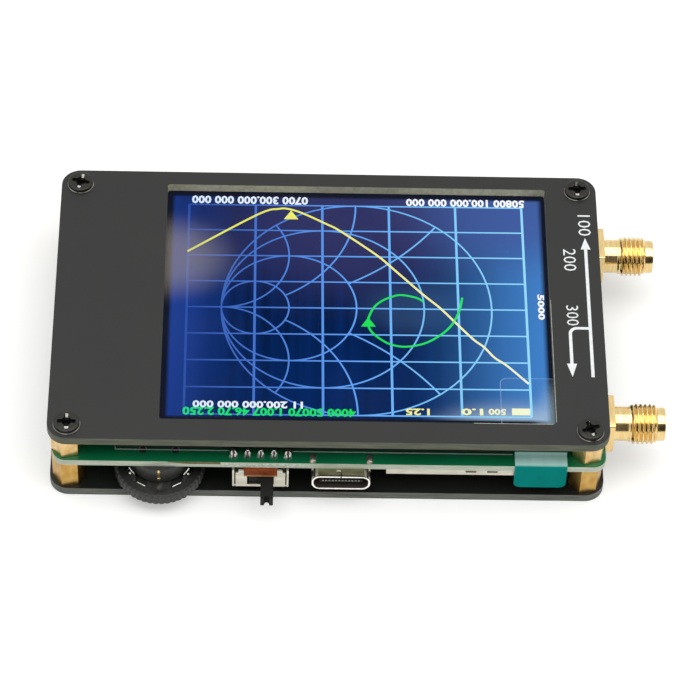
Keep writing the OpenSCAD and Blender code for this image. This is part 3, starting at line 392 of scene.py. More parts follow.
def laminate(name, mask, edge, gloss, coat):
    """Glass-fibre laminate under a solder mask: flat printed faces with a slight orange peel, and
    milled edges that show the pale cloth layers."""
    made, tree, shader, coords = material(name, {
        "IOR": 1.5, "Specular IOR Level": 0.42, "Coat Weight": coat, "Coat Roughness": 0.1})
    normal = add(tree, "SeparateXYZ", {0: coords.outputs["Normal"]})
    upright = add(tree, "Math", {0: normal.outputs["Z"]}, operation="ABSOLUTE")
    flat = add(tree, "Math", {0: upright.outputs[0], 1: 0.8}, operation="GREATER_THAN")
    cloud = add(tree, "TexNoise", {"Vector": coords.outputs["Object"], "Scale": cycles(9), "Detail": 3})
    printed = add(tree, "ValToRGB", {"Fac": cloud.outputs[0]}, stops=[(0.3, mask[0]), (0.7, mask[1])])
    # Cloth layers lie 0.2 mm apart; they are drawn about 0.45 mm apart so that they show
    layers = add(tree, "Mapping", {"Vector": coords.outputs["Object"], "Scale": (0.25, 0.25, 2.2)})
    cloth = add(tree, "TexNoise", {"Vector": layers.outputs[0], "Scale": cycles(1), "Detail": 5})
    milled = add(tree, "ValToRGB", {"Fac": cloth.outputs[0]}, stops=[(0.3, edge[0]), (0.7, edge[1])])
    colour = {0: flat.outputs[0], 6: milled.outputs[0], 7: printed.outputs[0]}
    both = add(tree, "Mix", colour, data_type="RGBA")
    tree.links.new(both.outputs[2], shader.inputs["Base Color"])
    dulled = add(tree, "MapRange", {"Value": flat.outputs[0], "To Min": 0.75, "To Max": gloss})
    tree.links.new(dulled.outputs[0], shader.inputs["Roughness"])
    peel = add(tree, "TexNoise", {"Vector": coords.outputs["Object"], "Scale": cycles(0.7), "Detail": 2})
    bump = add(tree, "Bump", {"Height": peel.outputs[0], "Distance": 0.006 * MM, "Strength": 1})
    tree.links.new(bump.outputs[0], shader.inputs["Normal"])
    return made


def moulded_epoxy():
    """Transfer-moulded black epoxy: a dull, faintly speckled body, with tinned leads next to the board."""
    made, tree, shader, coords = material("moulded_epoxy", {"IOR": 1.55})
    place = add(tree, "SeparateXYZ", {0: coords.outputs["Object"]})
    lead_height = (board_low.z - 0.25) * MM
    tinned = add(tree, "Math", {0: place.outputs["Z"], 1: lead_height}, operation="GREATER_THAN")
    speck = add(tree, "TexNoise", {"Vector": coords.outputs["Object"], "Scale": cycles(0.15), "Detail": 3})
    body = add(tree, "ValToRGB", {"Fac": speck.outputs[0]}, stops=[(0.3, "#1b1c1a"), (0.7, "#2b2c29")])
    both = {0: tinned.outputs[0], 6: body.outputs[0], 7: linear("#c9c8c0")}
    both = add(tree, "Mix", both, data_type="RGBA")
    tree.links.new(both.outputs[2], shader.inputs["Base Color"])
    tree.links.new(tinned.outputs[0], shader.inputs["Metallic"])
    dulled = add(tree, "MapRange", {"Value": tinned.outputs[0], "To Min": 0.62, "To Max": 0.3})
    tree.links.new(dulled.outputs[0], shader.inputs["Roughness"])
    return made


def phenolic_paper():
    """Punched phenolic paper: orange-brown and mottled with fibre, paler tan towards its lower edge, and
    drawn near black at the ends as painted shade, where the shell's sides shadow them."""
    made, tree, shader, coords = material("phenolic_paper", {"Roughness": 0.65, "Specular IOR Level": 0.2})
    place = add(tree, "SeparateXYZ", {0: coords.outputs["Object"]})
    fibre = add(tree, "TexNoise", {"Vector": coords.outputs["Object"], "Scale": cycles(0.9), "Detail": 4})
    face = add(tree, "ValToRGB", {"Fac": fibre.outputs[0]}, stops=[(0.3, "#74300f"), (0.7, "#954a1e")])
    low = extent("switch_base")[0].z
    # Paler tan towards the lower edge
    lower_edge = {"Value": place.outputs["Z"], "From Min": (low + 0.45) * MM, "From Max": (low + 0.1) * MM}
    lower_edge = add(tree, "MapRange", lower_edge)
    edged = {0: lower_edge.outputs[0], 6: face.outputs[0], 7: linear("#c79468")}
    edged = add(tree, "Mix", edged, data_type="RGBA")
    middle = (shell_low.x + shell_high.x) / 2
    beside = add(tree, "Math", {0: place.outputs["X"], 1: -middle * MM}, operation="ADD")
    beside = add(tree, "Math", {0: beside.outputs[0]}, operation="ABSOLUTE")
    # Painted shade: the ends, more than 2.62 mm from the middle, are drawn near black
    painted_shade_ends = add(tree, "Math", {0: beside.outputs[0], 1: 2.62 * MM}, operation="GREATER_THAN")
    both = {0: painted_shade_ends.outputs[0], 6: edged.outputs[2], 7: linear("#150e0a")}
    both = add(tree, "Mix", both, data_type="RGBA")
    tree.links.new(both.outputs[2], shader.inputs["Base Color"])
    bump = add(tree, "Bump", {"Height": fibre.outputs[0], "Distance": 0.01 * MM, "Strength": 1})
    tree.links.new(bump.outputs[0], shader.inputs["Normal"])
    return made


def dyed_film():
    """Dyed polyester film: smooth and even. Where it lies flat on the board it is drawn a pale milky teal,
    as painted light skimming its face. It shows its full teal where it hangs, and where it climbs to the
    screen it is drawn dark, as painted shade under the front plate."""
    made, tree, shader, coords = material("dyed_film", {
        "IOR": 1.6, "Roughness": 0.4, "Specular IOR Level": 0.01})
    place = add(tree, "SeparateXYZ", {0: coords.outputs["Object"]})
    height = place.outputs["Z"]
    # Painted light where it lies flat, painted shade where it climbs behind the plate
    lying = {"Value": height, "From Min": (board_top + 0.04) * MM, "From Max": (board_top + 0.145) * MM}
    painted_shade_share = {"Value": height, "From Min": (board_top + 0.6) * MM, "From Max": (board_top + 0.9) * MM}
    lying, painted_shade_share = add(tree, "MapRange", lying), add(tree, "MapRange", painted_shade_share)
    smear_and_reflection = add(tree, "Mapping", {"Vector": coords.outputs["Object"], "Scale": (1, 0.3, 0.3)})
    streak = add(tree, "TexNoise", {"Vector": smear_and_reflection.outputs[0], "Scale": cycles(1.5), "Detail": 4})
    teal = add(tree, "ValToRGB", {"Fac": streak.outputs[0]}, stops=[(0.3, "#03877f"), (0.7, "#058f87")])
    painted_lit_teal = add(tree, "ValToRGB", {"Fac": streak.outputs[0]}, stops=[(0.3, "#b2e4da"), (0.7, "#c4eee6")])
    colour = {0: lying.outputs[0], 6: teal.outputs[0], 7: painted_lit_teal.outputs[0]}
    both = add(tree, "Mix", colour, data_type="RGBA")
    dark = {0: painted_shade_share.outputs[0], 6: both.outputs[2], 7: linear("#06302b")}
    dark = add(tree, "Mix", dark, data_type="RGBA")
    tree.links.new(dark.outputs[2], shader.inputs["Base Color"])
    return made


# The picture on the screen: its centre, its turn on the glass and the half sizes of its grid
PICTURE = Vector((4.347, 0.704))
PICTURE_TURN = math.radians(0.272)
GRID = Vector((26.592, 21.17))
# Corners of the lit area round the grid
LIT_LOW, LIT_HIGH = Vector((-25.1, -21.25)), Vector((34.1, 23.75))


def on_screen(u, v):
    """A place on the screen's glass, from millimetres right of and above the picture's centre."""
    c, s = math.cos(PICTURE_TURN), math.sin(PICTURE_TURN)
    return PICTURE.x + c * u - s * v, PICTURE.y + s * u + c * v


# Soft patches on the screen: place, half widths, colour and how strongly each shows. The purple ones at the
# top and in the middle, the one at the top right and the pale one at the lower right are painted
# reflections and glare on the glass; the rest is the backlight's own unevenness.
BACKLIGHT_AND_REFLECTIONS = [
    ((-36, -4), (22, 60), "#1f3f92", 1),
    ((0, 17), (36, 22), "#2f3261", 1),
    ((9, 0), (12, 8), "#2a456f", 0.8),
    ((2, -19), (44, 20), "#052d6c", 0.4),
    ((43, -8), (39, 100), "#4486d0", 1),
    ((26, 22), (26, 20), "#44599c", 0.8),
    ((24, -25), (18, 9), "#b4c9da", 0.75),
]


def soft_patch(tree, place, at, size, amount):
    """A share that falls off softly from a place on the screen, over half widths in millimetres."""
    (x, y), (wide, high) = on_screen(*at), size
    area = {
        "Vector": place, "Scale": (1 / (wide * MM), 1 / (high * MM), 0),
        "Location": (-x / wide, -y / high, 0),
    }
    area = add(tree, "Mapping", area)
    fall = add(tree, "TexGradient", {"Vector": area.outputs[0]}, gradient_type="SPHERICAL")
    share = {"Value": fall.outputs["Fac"], "From Max": 0.85, "To Max": amount}
    return add(tree, "MapRange", share, interpolation_type="SMOOTHERSTEP").outputs[0]


def lit_screen():
    """A lit liquid-crystal screen under glass, seen aslant: deep navy with faint column streaks, paler
    where the backlight leaks at the right, with soft patches of painted reflection and glare, and a dark
    frame round the lit area."""
    made, tree, shader, coords = material("lit_screen", {
        "Base Color": linear("#020409"), "Roughness": 0.35, "Specular IOR Level": 0.0,
        "Emission Strength": 1,
    })
    place = coords.outputs["Object"]
    # Column streaks are 0.2 mm apart; they are drawn 1.2 mm apart so that they show
    columns = add(tree, "Mapping", {"Vector": place, "Scale": (1, 0.02, 0.02)})
    streak = add(tree, "TexNoise", {"Vector": columns.outputs[0], "Scale": cycles(1.2), "Detail": 3})
    light = add(tree, "ValToRGB", {"Fac": streak.outputs[0]}, stops=[(0.35, "#03193f"), (0.7, "#06245c")])
    light = light.outputs[0]
    for at, size, colour, amount in BACKLIGHT_AND_REFLECTIONS:
        share = soft_patch(tree, place, at, size, amount)
        light = add(tree, "Mix", {0: share, 6: light, 7: linear(colour)}, data_type="RGBA").outputs[2]
    inside = None
    apart = add(tree, "SeparateXYZ", {0: place})
    for axis, edge, inward in (
        ("X", LIT_LOW.x, 0.6), ("X", LIT_HIGH.x, -0.8), ("Y", LIT_LOW.y, 0.5), ("Y", LIT_HIGH.y, -0.5),
    ):
        border = {"Value": apart.outputs[axis], "From Min": edge * MM, "From Max": (edge + inward) * MM}
        border = add(tree, "MapRange", border)
        inside = border.outputs[0] if inside is None else add(
            tree, "Math", {0: inside, 1: border.outputs[0]}, operation="MULTIPLY").outputs[0]
    framed = add(tree, "Mix", {0: inside, 6: linear("#141726"), 7: light}, data_type="RGBA")
    tree.links.new(framed.outputs[2], shader.inputs["Emission Color"])
    return made


def lit_ink(name, *shades):
    """Lit picture elements: pure light with no gloss, brighter towards the right, where the screen is
    seen less aslant."""
    made, tree, shader, coords = material(name, {
        "Base Color": linear("#000000"), "Roughness": 0.6, "Specular IOR Level": 0.0,
        "Emission Strength": 1,
    })
    place = add(tree, "SeparateXYZ", {0: coords.outputs["Object"]})
    span = {
        "Value": place.outputs["X"],
        "From Min": (PICTURE.x - GRID.x) * MM,
        "From Max": (PICTURE.x + GRID.x) * MM,
    }
    across = add(tree, "MapRange", span)
    stops = [(i / (len(shades) - 1), shade) for i, shade in enumerate(shades)]
    light = add(tree, "ValToRGB", {"Fac": across.outputs[0]}, stops=stops)
    tree.links.new(light.outputs[0], shader.inputs["Emission Color"])
    return made


def clear_film(name, cast, haze, reflection_at, reflection_size, smear_and_reflection):
    """Clear polyester film: nearly invisible, with a thin cloudy haze, a soft patch of painted reflection
    in its cast colour, and dust.
    """
    made, tree, shader, coords = material(name, {
        "Base Color": linear(cast), "Roughness": 0.3, "IOR": 1.5, "Specular IOR Level": 0.1,
    })
    place = coords.outputs["Object"]
    cloud = add(tree, "TexNoise", {"Vector": place, "Scale": cycles(14), "Detail": 4})
    thin = {"Value": cloud.outputs[0], "From Min": 0.45, "From Max": 0.8}
    thin.update({"To Min": haze[0], "To Max": haze[1]})
    cover = add(tree, "MapRange", thin).outputs[0]
    painted_reflection = soft_patch(tree, place, reflection_at, reflection_size, smear_and_reflection)
    # Specks of dust are about 0.1 mm wide. One in every 8 mm is drawn 0.25 mm wide so that they show
    specks = add(tree, "TexVoronoi", {"Vector": place, "Scale": cycles(8)})
    grit = {"Value": specks.outputs["Distance"], "From Min": 0.02, "From Max": 0.008, "To Max": 0.3}
    grit = add(tree, "MapRange", grit).outputs[0]
    for more in (painted_reflection, grit):
        cover = add(tree, "Math", {0: cover, 1: more}, operation="ADD").outputs[0]
    tree.links.new(cover, shader.inputs["Alpha"])
    return made


METAL = {"Metallic": 1.0}

FINISH = {
    # Satin black solder mask: dark, with a broad soft sheen
    "black_laminate": laminate(
        "black_solder_mask", ("#121311", "#181916"), ("#54584a", "#6e7260"), 0.42, 0),
    # Glossy green solder mask: deep green under a wet-looking coat, pale raw edges
    "green_laminate": laminate(
        "green_solder_mask", ("#076a40", "#0c764a"), ("#b4bfa9", "#d5dccb"), 0.3, 0.3),
    # Drawn brass bar: warm yellow metal with soft stains from handling
    "turned_brass": plain_finish(
        "drawn_brass", {**METAL, "Roughness": 0.34}, ("#b3893f", "#cfa962"), 1.1, 0.004, (1, 1, 0.6), 0.06),
    # Black zinc plate over steel: dark, slightly glossy metal
    "black_steel": plain_finish(
        "black_zinc_steel", {"Metallic": 0.6, "Roughness": 0.34},
        ("#232320", "#33322d"), 0.4, 0.002, dull=0.06),
    # Foam tape: matt off-white with open cells
    "foam_tape": plain_finish(
        "foam_tape", {"Roughness": 0.9}, ("#d8d4c8", "#ece9e0"), 0.5, 0.05),
    # Pressed sheet of the screen tray: deep matt black
    "black_sheet_steel": plain_finish(
        "matt_black_sheet", {"Roughness": 0.6}, ("#0c0c0b", "#151514"), 0.6, 0.002, (0.05, 1, 1), 0.06),
    # Cast acrylic light guide: clear and milky
    "clear_acrylic": plain_finish(
        "cast_acrylic", {"Roughness": 0.15, "IOR": 1.49, "Transmission Weight": 0.6},
        ("#e9eef0", "#f6f8f8"), 3, 0.001),
    # Dark liquid-crystal glass
    "cell_glass": plain_finish(
        "cell_glass", {"Roughness": 0.1, "IOR": 1.52}, ("#0a1124", "#0d1730"), 5, 0.0005),
    # Polyimide film: translucent amber with copper under it
    "amber_film": plain_finish(
        "polyimide_film", {"Roughness": 0.28, "IOR": 1.7},
        ("#a2651a", "#c48a35"), 1.2, 0.004, (0.1, 1, 1), 0.05),
    "touch_glass": lit_screen(),
    # Its warm grey cast and the soft patch at the upper left are a painted reflection on the film
    "clear_film": clear_film("protective_clear_film", "#b3aaa0", (0, 0.006), (-31, 10), (15, 11), 0.2),
    "teal_film": dyed_film(),
    # Gold plate over turned brass: bright yellow mirror with faint turning marks
    "gold_plate": plain_finish(
        "gold_plated_brass", {**METAL, "Roughness": 0.18},
        ("#e0bf7e", "#ead39d"), 0.5, 0.001, (2, 0.2, 0.2), 0.05),
    # Fluoropolymer: waxy white
    "white_fluoropolymer": plain_finish(
        "fluoropolymer", {"Roughness": 0.45, "IOR": 1.36, "Subsurface Weight": 0.2},
        ("#ece9df", "#f7f5ee"), 1, 0.002),
    # Nickel-plated sheet: warm bright grey, slightly dulled by handling
    "nickel_sheet": plain_finish(
        "nickel_plated_sheet", {**METAL, "Roughness": 0.33},
        ("#bdb8a8", "#d8d4c6"), 0.8, 0.004, (0.3, 1, 1), 0.1),
    # Injection-moulded black nylon: dark grey with a fine spark-eroded grain, drawn at 0.25 mm to show
    "black_moulding": plain_finish(
        "moulded_black_nylon", {"Roughness": 0.5, "IOR": 1.53},
        ("#232321", "#31312e"), 0.25, 0.012, dull=0.06),
    "brown_phenolic": phenolic_paper(),
    # Solder and tin: white metal, lumpy where it froze
    "tinned_metal": plain_finish(
        "bright_solder", {**METAL, "Roughness": 0.22}, ("#c2c2bc", "#dededa"), 0.35, 0.03, dull=0.1),
    # Spring steel wire and strip: bright and smooth
    "spring_steel": plain_finish(
        "spring_steel", {**METAL, "Roughness": 0.2}, ("#cfcdc4", "#e2e0d8"), 0.6, 0.002, dull=0.05),
    "black_epoxy": moulded_epoxy(),
    # Fired ceramic: tan and matt
    "tan_ceramic": plain_finish("fired_ceramic", {"Roughness": 0.6}, ("#9c8056", "#b8996a"), 0.3, 0.004),
    # Laminated pouch foil: silvery, with soft wrinkles
    "pouch_foil": plain_finish(
        "pouch_foil", {"Metallic": 0.8, "Roughness": 0.34}, ("#a4a7a8", "#bfc2c2"), 5, 0.15, dull=0.08),
    # Silicone insulation: soft red and black
    "red_insulation": plain_finish("red_silicone", {"Roughness": 0.45}, ("#96201a", "#ad2a20"), 0.5, 0.004),
    "black_insulation": plain_finish(
        "black_silicone", {"Roughness": 0.45}, ("#171717", "#222221"), 0.5, 0.004),
    # Moulded white nylon: ivory, slightly glossy
    "white_nylon": plain_finish(
        "moulded_white_nylon", {"Roughness": 0.4}, ("#e4dfd0", "#f0ecdf"), 0.4, 0.005),
}

# Screen-printed white ink: flat white with a slightly uneven edge and face
WHITE_INK = plain_finish("printed_white_ink", {"Roughness": 0.55}, ("#dfe2e4", "#f2f4f4"), 0.4, 0.004)
# Solder that stayed under flux: grey-brown and dull
FLUX_SOLDER = plain_finish(
    "flux_dulled_solder", {**METAL, "Roughness": 0.5}, ("#8d8678", "#bdb6a9"), 0.4, 0.05, dull=0.1)
# Snapped laminate: pale broken glass fibre
BROKEN_LAMINATE = plain_finish("snapped_laminate", {"Roughness": 0.85}, ("#a9b39d", "#dfe4d6"), 0.35, 0.06)
GRID_LIGHT = lit_ink("lit_blue", "#2f51a6", "#4c7cd6", "#64a6fa", "#7fcaff", "#98deff")
YELLOW_LIGHT = lit_ink("lit_yellow", "#e6ea5c", "#f0ee70", "#f6f29a", "#f4fad6")
GREEN_LIGHT = lit_ink("lit_green", "#24dc80", "#20e058", "#35e56a")
WHITE_LIGHT = lit_ink("lit_white", "#dcecff", "#f4faff", "#ffffff")
# Satin black mask on the rear plate: as the front plate, with greyer milled edges
REAR_LAMINATE = laminate("black_solder_mask_rear", ("#151614", "#1a1b19"), ("#5d605a", "#7c7f77"), 0.42, 0)
# Moulded acetal: deeper black and duller than the nylon round it
DARK_ACETAL = plain_finish(
    "moulded_black_acetal", {"Roughness": 0.6, "IOR": 1.48, "Specular IOR Level": 0.25},
    ("#0b0c0a", "#12130f"), 0.25, 0.01, dull=0.05)
# Pale laminate colour drawn as a painted highlight along the window's right and front edges; olive-brown
# bare glass fibre where the mask stops short of the board's routed edge
WINDOW_EDGE_HIGHLIGHT = plain_finish("painted_highlight_window_edge", {"Roughness": 0.7}, ("#8f8f7e", "#b9b8a8"), 0.5, 0.01)
ROUTED_LAMINATE = plain_finish("routed_laminate", {"Roughness": 0.7}, ("#5c5530", "#7c7346"), 0.5, 0.02)
# Routed back wall of the window: glass fibre drawn much paler than the plate's other milled edges, as
# painted light
LIT_WINDOW_WALL = plain_finish("painted_light_window_wall", {"Roughness": 0.75}, ("#aaa789", "#c6c4a8"), 0.6, 0.01)
# Moulded nylon of the wheel: a darker copy of the housing's nylon, as painted shade
SHADED_WHEEL_NYLON = plain_finish(
    "painted_shade_black_nylon", {"Roughness": 0.5, "IOR": 1.53}, ("#1a1a18", "#252522"), 0.25, 0.012, dull=0.06)
# A thin collar at each front head's foot, drawn bright and patchy as a painted highlight round the rim
RIM_HIGHLIGHT_ZINC = plain_finish(
    "painted_highlight_zinc_rim", {**METAL, "Roughness": 0.3}, ("#4c4a44", "#b8b5aa"), 0.9, 0.002, dull=0.08)
# Painted shade in the screws' driver recesses and in the lever's notch: near black with almost no shine
PAINTED_RECESS_SHADE = plain_finish(
    "painted_shade_recess", {"Roughness": 0.7, "Specular IOR Level": 0.15},
    ("#040404", "#080807"), 0.3, 0.002)
# Painted shade on the inner walls of the charging socket and in the seam of its top: dull dark brown-grey
SOCKET_INSIDE_SHADE = plain_finish(
    "painted_shade_socket_inside", {"Roughness": 0.7, "Specular IOR Level": 0.2},
    ("#37322e", "#453f3a"), 0.3, 0.004)
# Painted highlight on the socket's lip and on the key of its seam: near-white smooth nickel
LIP_HIGHLIGHT_NICKEL = plain_finish(
    "painted_highlight_nickel_lip", {**METAL, "Roughness": 0.2}, ("#f0ede4", "#fbf9f3"), 0.5, 0.001, dull=0.05)
# Painted shade on the socket's top: the same nickel drawn olive grey and darker
TOP_SHADE_NICKEL = plain_finish(
    "painted_shade_nickel_top", {**METAL, "Roughness": 0.4},
    ("#7f7d60", "#9c9a7e"), 0.7, 0.003, (0.3, 1, 1), 0.08)
# Painted glints in the front recesses: bright bare steel on the far arm's end and the near arm's floor
PAINTED_GLINT_STEEL = plain_finish(
    "painted_glint_steel", {**METAL, "Roughness": 0.28}, ("#bdbab2", "#f1efe8"), 0.4, 0.002, dull=0.08)
# Drawn brass of the upper posts: a paler, brighter copy of the lower posts' brass, as painted light
PAINTED_LIGHT_BRASS = plain_finish(
    "painted_light_drawn_brass", {**METAL, "Roughness": 0.3}, ("#c9a05c", "#e3c690"), 1.1, 0.004, (1, 1, 0.6), 0.06)
# Matt tin on the charging contacts: pale and dull
MATT_TIN = plain_finish("matt_tin_plate", {"Roughness": 0.6}, ("#8f8c85", "#b1aea5"), 0.3, 0.002, dull=0.1)
# A dark brown glaze down the front of each solder bead
DARK_BEAD_FRONT = plain_finish("dark_bead_front", {"Roughness": 0.3, "IOR": 1.52}, ("#2c2522", "#4c413c"), 0.3, 0.02)
# Clear adhesive patch: a painted reflection clouds its right side; it is cut with a pale rim that carries
# the same painted reflection
STICKER = clear_film("clear_adhesive_patch", "#aac6de", (0.01, 0.04), (30.9, -22.5), (5.2, 11), 0.42)
STICKER_RIM = clear_film("adhesive_patch_rim", "#9fc4ee", (0.16, 0.32), (30.9, -22.5), (5.2, 11), 0.2)


# CAD nodes that keep their shape: each finish, its nodes and the rounding of their edges
KEPT = [
    ("black_laminate", ["front_plate"], 0),
    ("green_laminate", ["main_board"], 0),
    ("foam_tape", ["screen_tape", "battery_pad"], 0),
    ("black_sheet_steel", ["screen_tray"], 0.05),
    ("clear_acrylic", ["light_guide"], 0),
    ("cell_glass", ["screen_cell"], 0),
    ("amber_film", ["screen_ribbon", "battery_guard"], 0),
    ("touch_glass", ["touch_panel"], 0),
    ("white_fluoropolymer", ["port_insulators"], 0),
    ("gold_plate", ["port_contacts", "charge_contacts"], 0),
    ("black_moulding", ["jog_housing", "jog_carrier"], 0.08),
    ("brown_phenolic", ["switch_base"], 0.06),
    ("tinned_metal", ["switch_terminals", "switch_wiper"], 0.08),
    ("spring_steel", ["jog_washer"], 0.04),
    ("nickel_sheet", ["shield_frame", "shield_lid", "reference_oscillator"], 0.04),
    ("black_epoxy", ["processor", "mixer_chips", "clock_chip", "codec_chip", "charger_chip"], 0.03),
    ("pouch_foil", ["battery_cell"], 0.9),
    ("white_nylon", ["battery_plug", "battery_socket"], 0.15),
]
for slot, names, bevel in KEPT:
    for name in names:
        dress(name, slot, bevel)
dress("rear_plate", "black_laminate", finish=REAR_LAMINATE)
dress("charge_tongue", "black_moulding", 0.08, DARK_ACETAL)


# Screws: turned heads with a carved cross
CROSS_TURNS = [0, -14, 22, 3]
CROSS_LENGTH, CROSS_WIDTH, CROSS_DEPTH, CROSS_ROOT = 2.9, 0.72, 0.5, 1.1
CONE_DEPTH, SHANK_R, SHOULDER_R = 1.0, 1.0, 0.28


def cross_cutter(z):
    """A cross whose arms narrow downwards from the plane at z to a round root, for a driver's recess."""
    root = [(0, -CROSS_ROOT), (0.5, -CROSS_ROOT), (0.8, 0.02), (0.8, 0.5), (0, 0.5)]
    arms = [placed(lathe(root, 24), (0, 0, z))]
    for turn in (0, 90):
        rings = []
        for depth, share in ((-CROSS_DEPTH, 0.75), (0.02, 1), (0.5, 1)):
            x, y = CROSS_LENGTH / 2 * share, CROSS_WIDTH / 2 * (0.4 + 0.6 * share)
            end = [(x - 0.22 * share, -y), (x, -0.6 * y), (x, 0.6 * y), (x - 0.22 * share, y)]
            outline = end + [(-a, -b) for a, b in end]
            rings.append([(a, b, z + depth) for a, b in outline])
        arms.append(placed(loft(rings), turn=turn))
    return fused(*arms)


def pan_screw(low, high):
    """A low pan-head screw: flat crown, rounded shoulder and a plain shank."""
    head, top, end = (high.x - low.x) / 2, high.z - plate_top, low.z - plate_top
    shoulder = arc((head - SHOULDER_R, top - SHOULDER_R), SHOULDER_R, 90, 0, 6)
    profile = [(0, top)] + shoulder + [(head, 0), (SHANK_R, 0), (SHANK_R, end), (0, end)]
    return combined(lathe(profile), cross_cutter(top))


def flat_screw(low, high):
    """A countersunk screw, drawn head up: flat face, cone and a plain shank."""
    head, face = (high.x - low.x) / 2, low.z
    profile = [(0, -face), (head - 0.04, -face), (head, -face - 0.05), (SHANK_R, -face - CONE_DEPTH)]
    profile += [(SHANK_R, -high.z), (0, -high.z)]
    return combined(lathe(profile), cross_cutter(-face))


front_screws, rear_screws = [], []
for (low, high), turn in zip(solids("front_screws"), CROSS_TURNS):
    middle = (low + high) / 2
    front_screws.append(placed(pan_screw(low, high), (middle.x, middle.y, plate_top), turn))
for (low, high), turn in zip(solids("rear_screws"), CROSS_TURNS):
    middle = (low + high) / 2
    rear_screws.append(placed(placed(flat_screw(low, high), turn=turn), (middle.x, middle.y, 0), 180, "X"))
front_set = piece(
    "front_screw_set", join(*front_screws), stands_for=["front_screws"], slot="black_steel", bevel=0.04)
rear_set = piece(
    "rear_screw_set", join(*rear_screws), stands_for=["rear_screws"], slot="black_steel", bevel=0.03)


def recess_places(node, face_z):
    """A function that gives how far a place lies beside the nearest screw's axis, and its depth."""
    axes = [(low + high) / 2 for low, high in solids(node)]

    def measured(at):
        beside = min((at - axis for axis in axes), key=lambda v: v.xy.length)
        return beside.xy, abs(at.z - face_z)

    return measured


def in_recess(measured):
    """A test for places inside the driver recesses."""
    def chosen(at):
        beside, depth = measured(at)
        width = 1.52 if depth < CROSS_DEPTH + 0.01 else 0.7
        return 0.004 < depth < CROSS_ROOT + 0.01 and beside.length < width

    return chosen


front_recess = recess_places("front_screws", extent("front_screws")[1].z)
rear_recess = recess_places("rear_screws", extent("rear_screws")[0].z)


def painted_glint_place(at):
    """Whether a place in a front recess gets a painted glint: the far arm's end and the near arm's floor.
    """
    beside, depth = front_recess(at)
    if abs(beside.x) > 0.5 or not 0.004 < depth < CROSS_DEPTH + 0.01:
        return False
    return 1.2 < beside.y < 1.6 or (-1.5 < beside.y < -0.3 and depth > CROSS_DEPTH - 0.02)


# The recesses get painted shade, and the front ones painted glints
paint(front_set, PAINTED_RECESS_SHADE, in_recess(front_recess))
paint(front_set, PAINTED_GLINT_STEEL, painted_glint_place)
paint(rear_set, PAINTED_RECESS_SHADE, in_recess(rear_recess))

# Painted highlight: a thin bright collar round the foot of each front head
rims = []
for low, high in solids("front_screws"):
    r = (high.x - low.x) / 2
    collar = [(r - 0.1, 0), (r + 0.1, 0), (r + 0.1, 0.03), (r + 0.03, 0.1), (r - 0.1, 0.1)]
    rims.append(placed(lathe(collar), ((low.x + high.x) / 2, (low.y + high.y) / 2, plate_top)))
piece("screw_highlight_rims", join(*rims), RIM_HIGHLIGHT_ZINC)


# Standoffs: hexagon bar with chamfered ends
STANDOFF_FLATS = 4.4
UPPER_TURNS, LOWER_TURNS = [11, -3, 16, 4], [6, -3, 10, 4]


def standoff(z0, z1):
    """A hexagon post whose corners are turned off at both ends."""
    corner = STANDOFF_FLATS / 2 / math.cos(math.radians(30))
    post = prism(arc((0, 0), corner, 0, 300, 5), z0, z1)
    chamfer, flat, clear = 0.16, STANDOFF_FLATS / 2 + 0.04, corner + 0.1
    turned = [(0, z0), (flat, z0), (clear, z0 + chamfer), (clear, z1 - chamfer), (flat, z1), (0, z1)]
    return combined(post, lathe(turned), "INTERSECT")


for node, z0, z1, turns, finish in (
    ("front_standoffs", board_top, plate_low.z, UPPER_TURNS, PAINTED_LIGHT_BRASS),
    ("rear_standoffs", extent("rear_plate")[1].z, board_low.z, LOWER_TURNS, FINISH["turned_brass"]),
):
    posts = []
    for (low, high), turn in zip(solids(node), turns):
        middle = (low + high) / 2
        posts.append(placed(standoff(z0, z1), (middle.x, middle.y, 0), turn))
    name = node.replace("standoffs", "standoff_set")
    piece(name, join(*posts), finish, stands_for=[node], slot="turned_brass", bevel=0.05)


# Coaxial ports: a square flange with legs, a neck and a barrel with a helical thread
PORT_PITCH, PORT_CRESTS = 0.7056, 6
THREAD_R, ROOT_R = 3.125, 2.72
NECK_R, NECK_L = 2.65, 2.3
FLANGE_W, FLANGE_T, TIP_L = 6.35, 1.4, 1.3
TIP_R, SOCKET_R, SOCKET_L, BORE_R = 2.6, 2.3, 1.9, 2.05
PORT_SIDES, RINGS_PER_PITCH = 64, 8


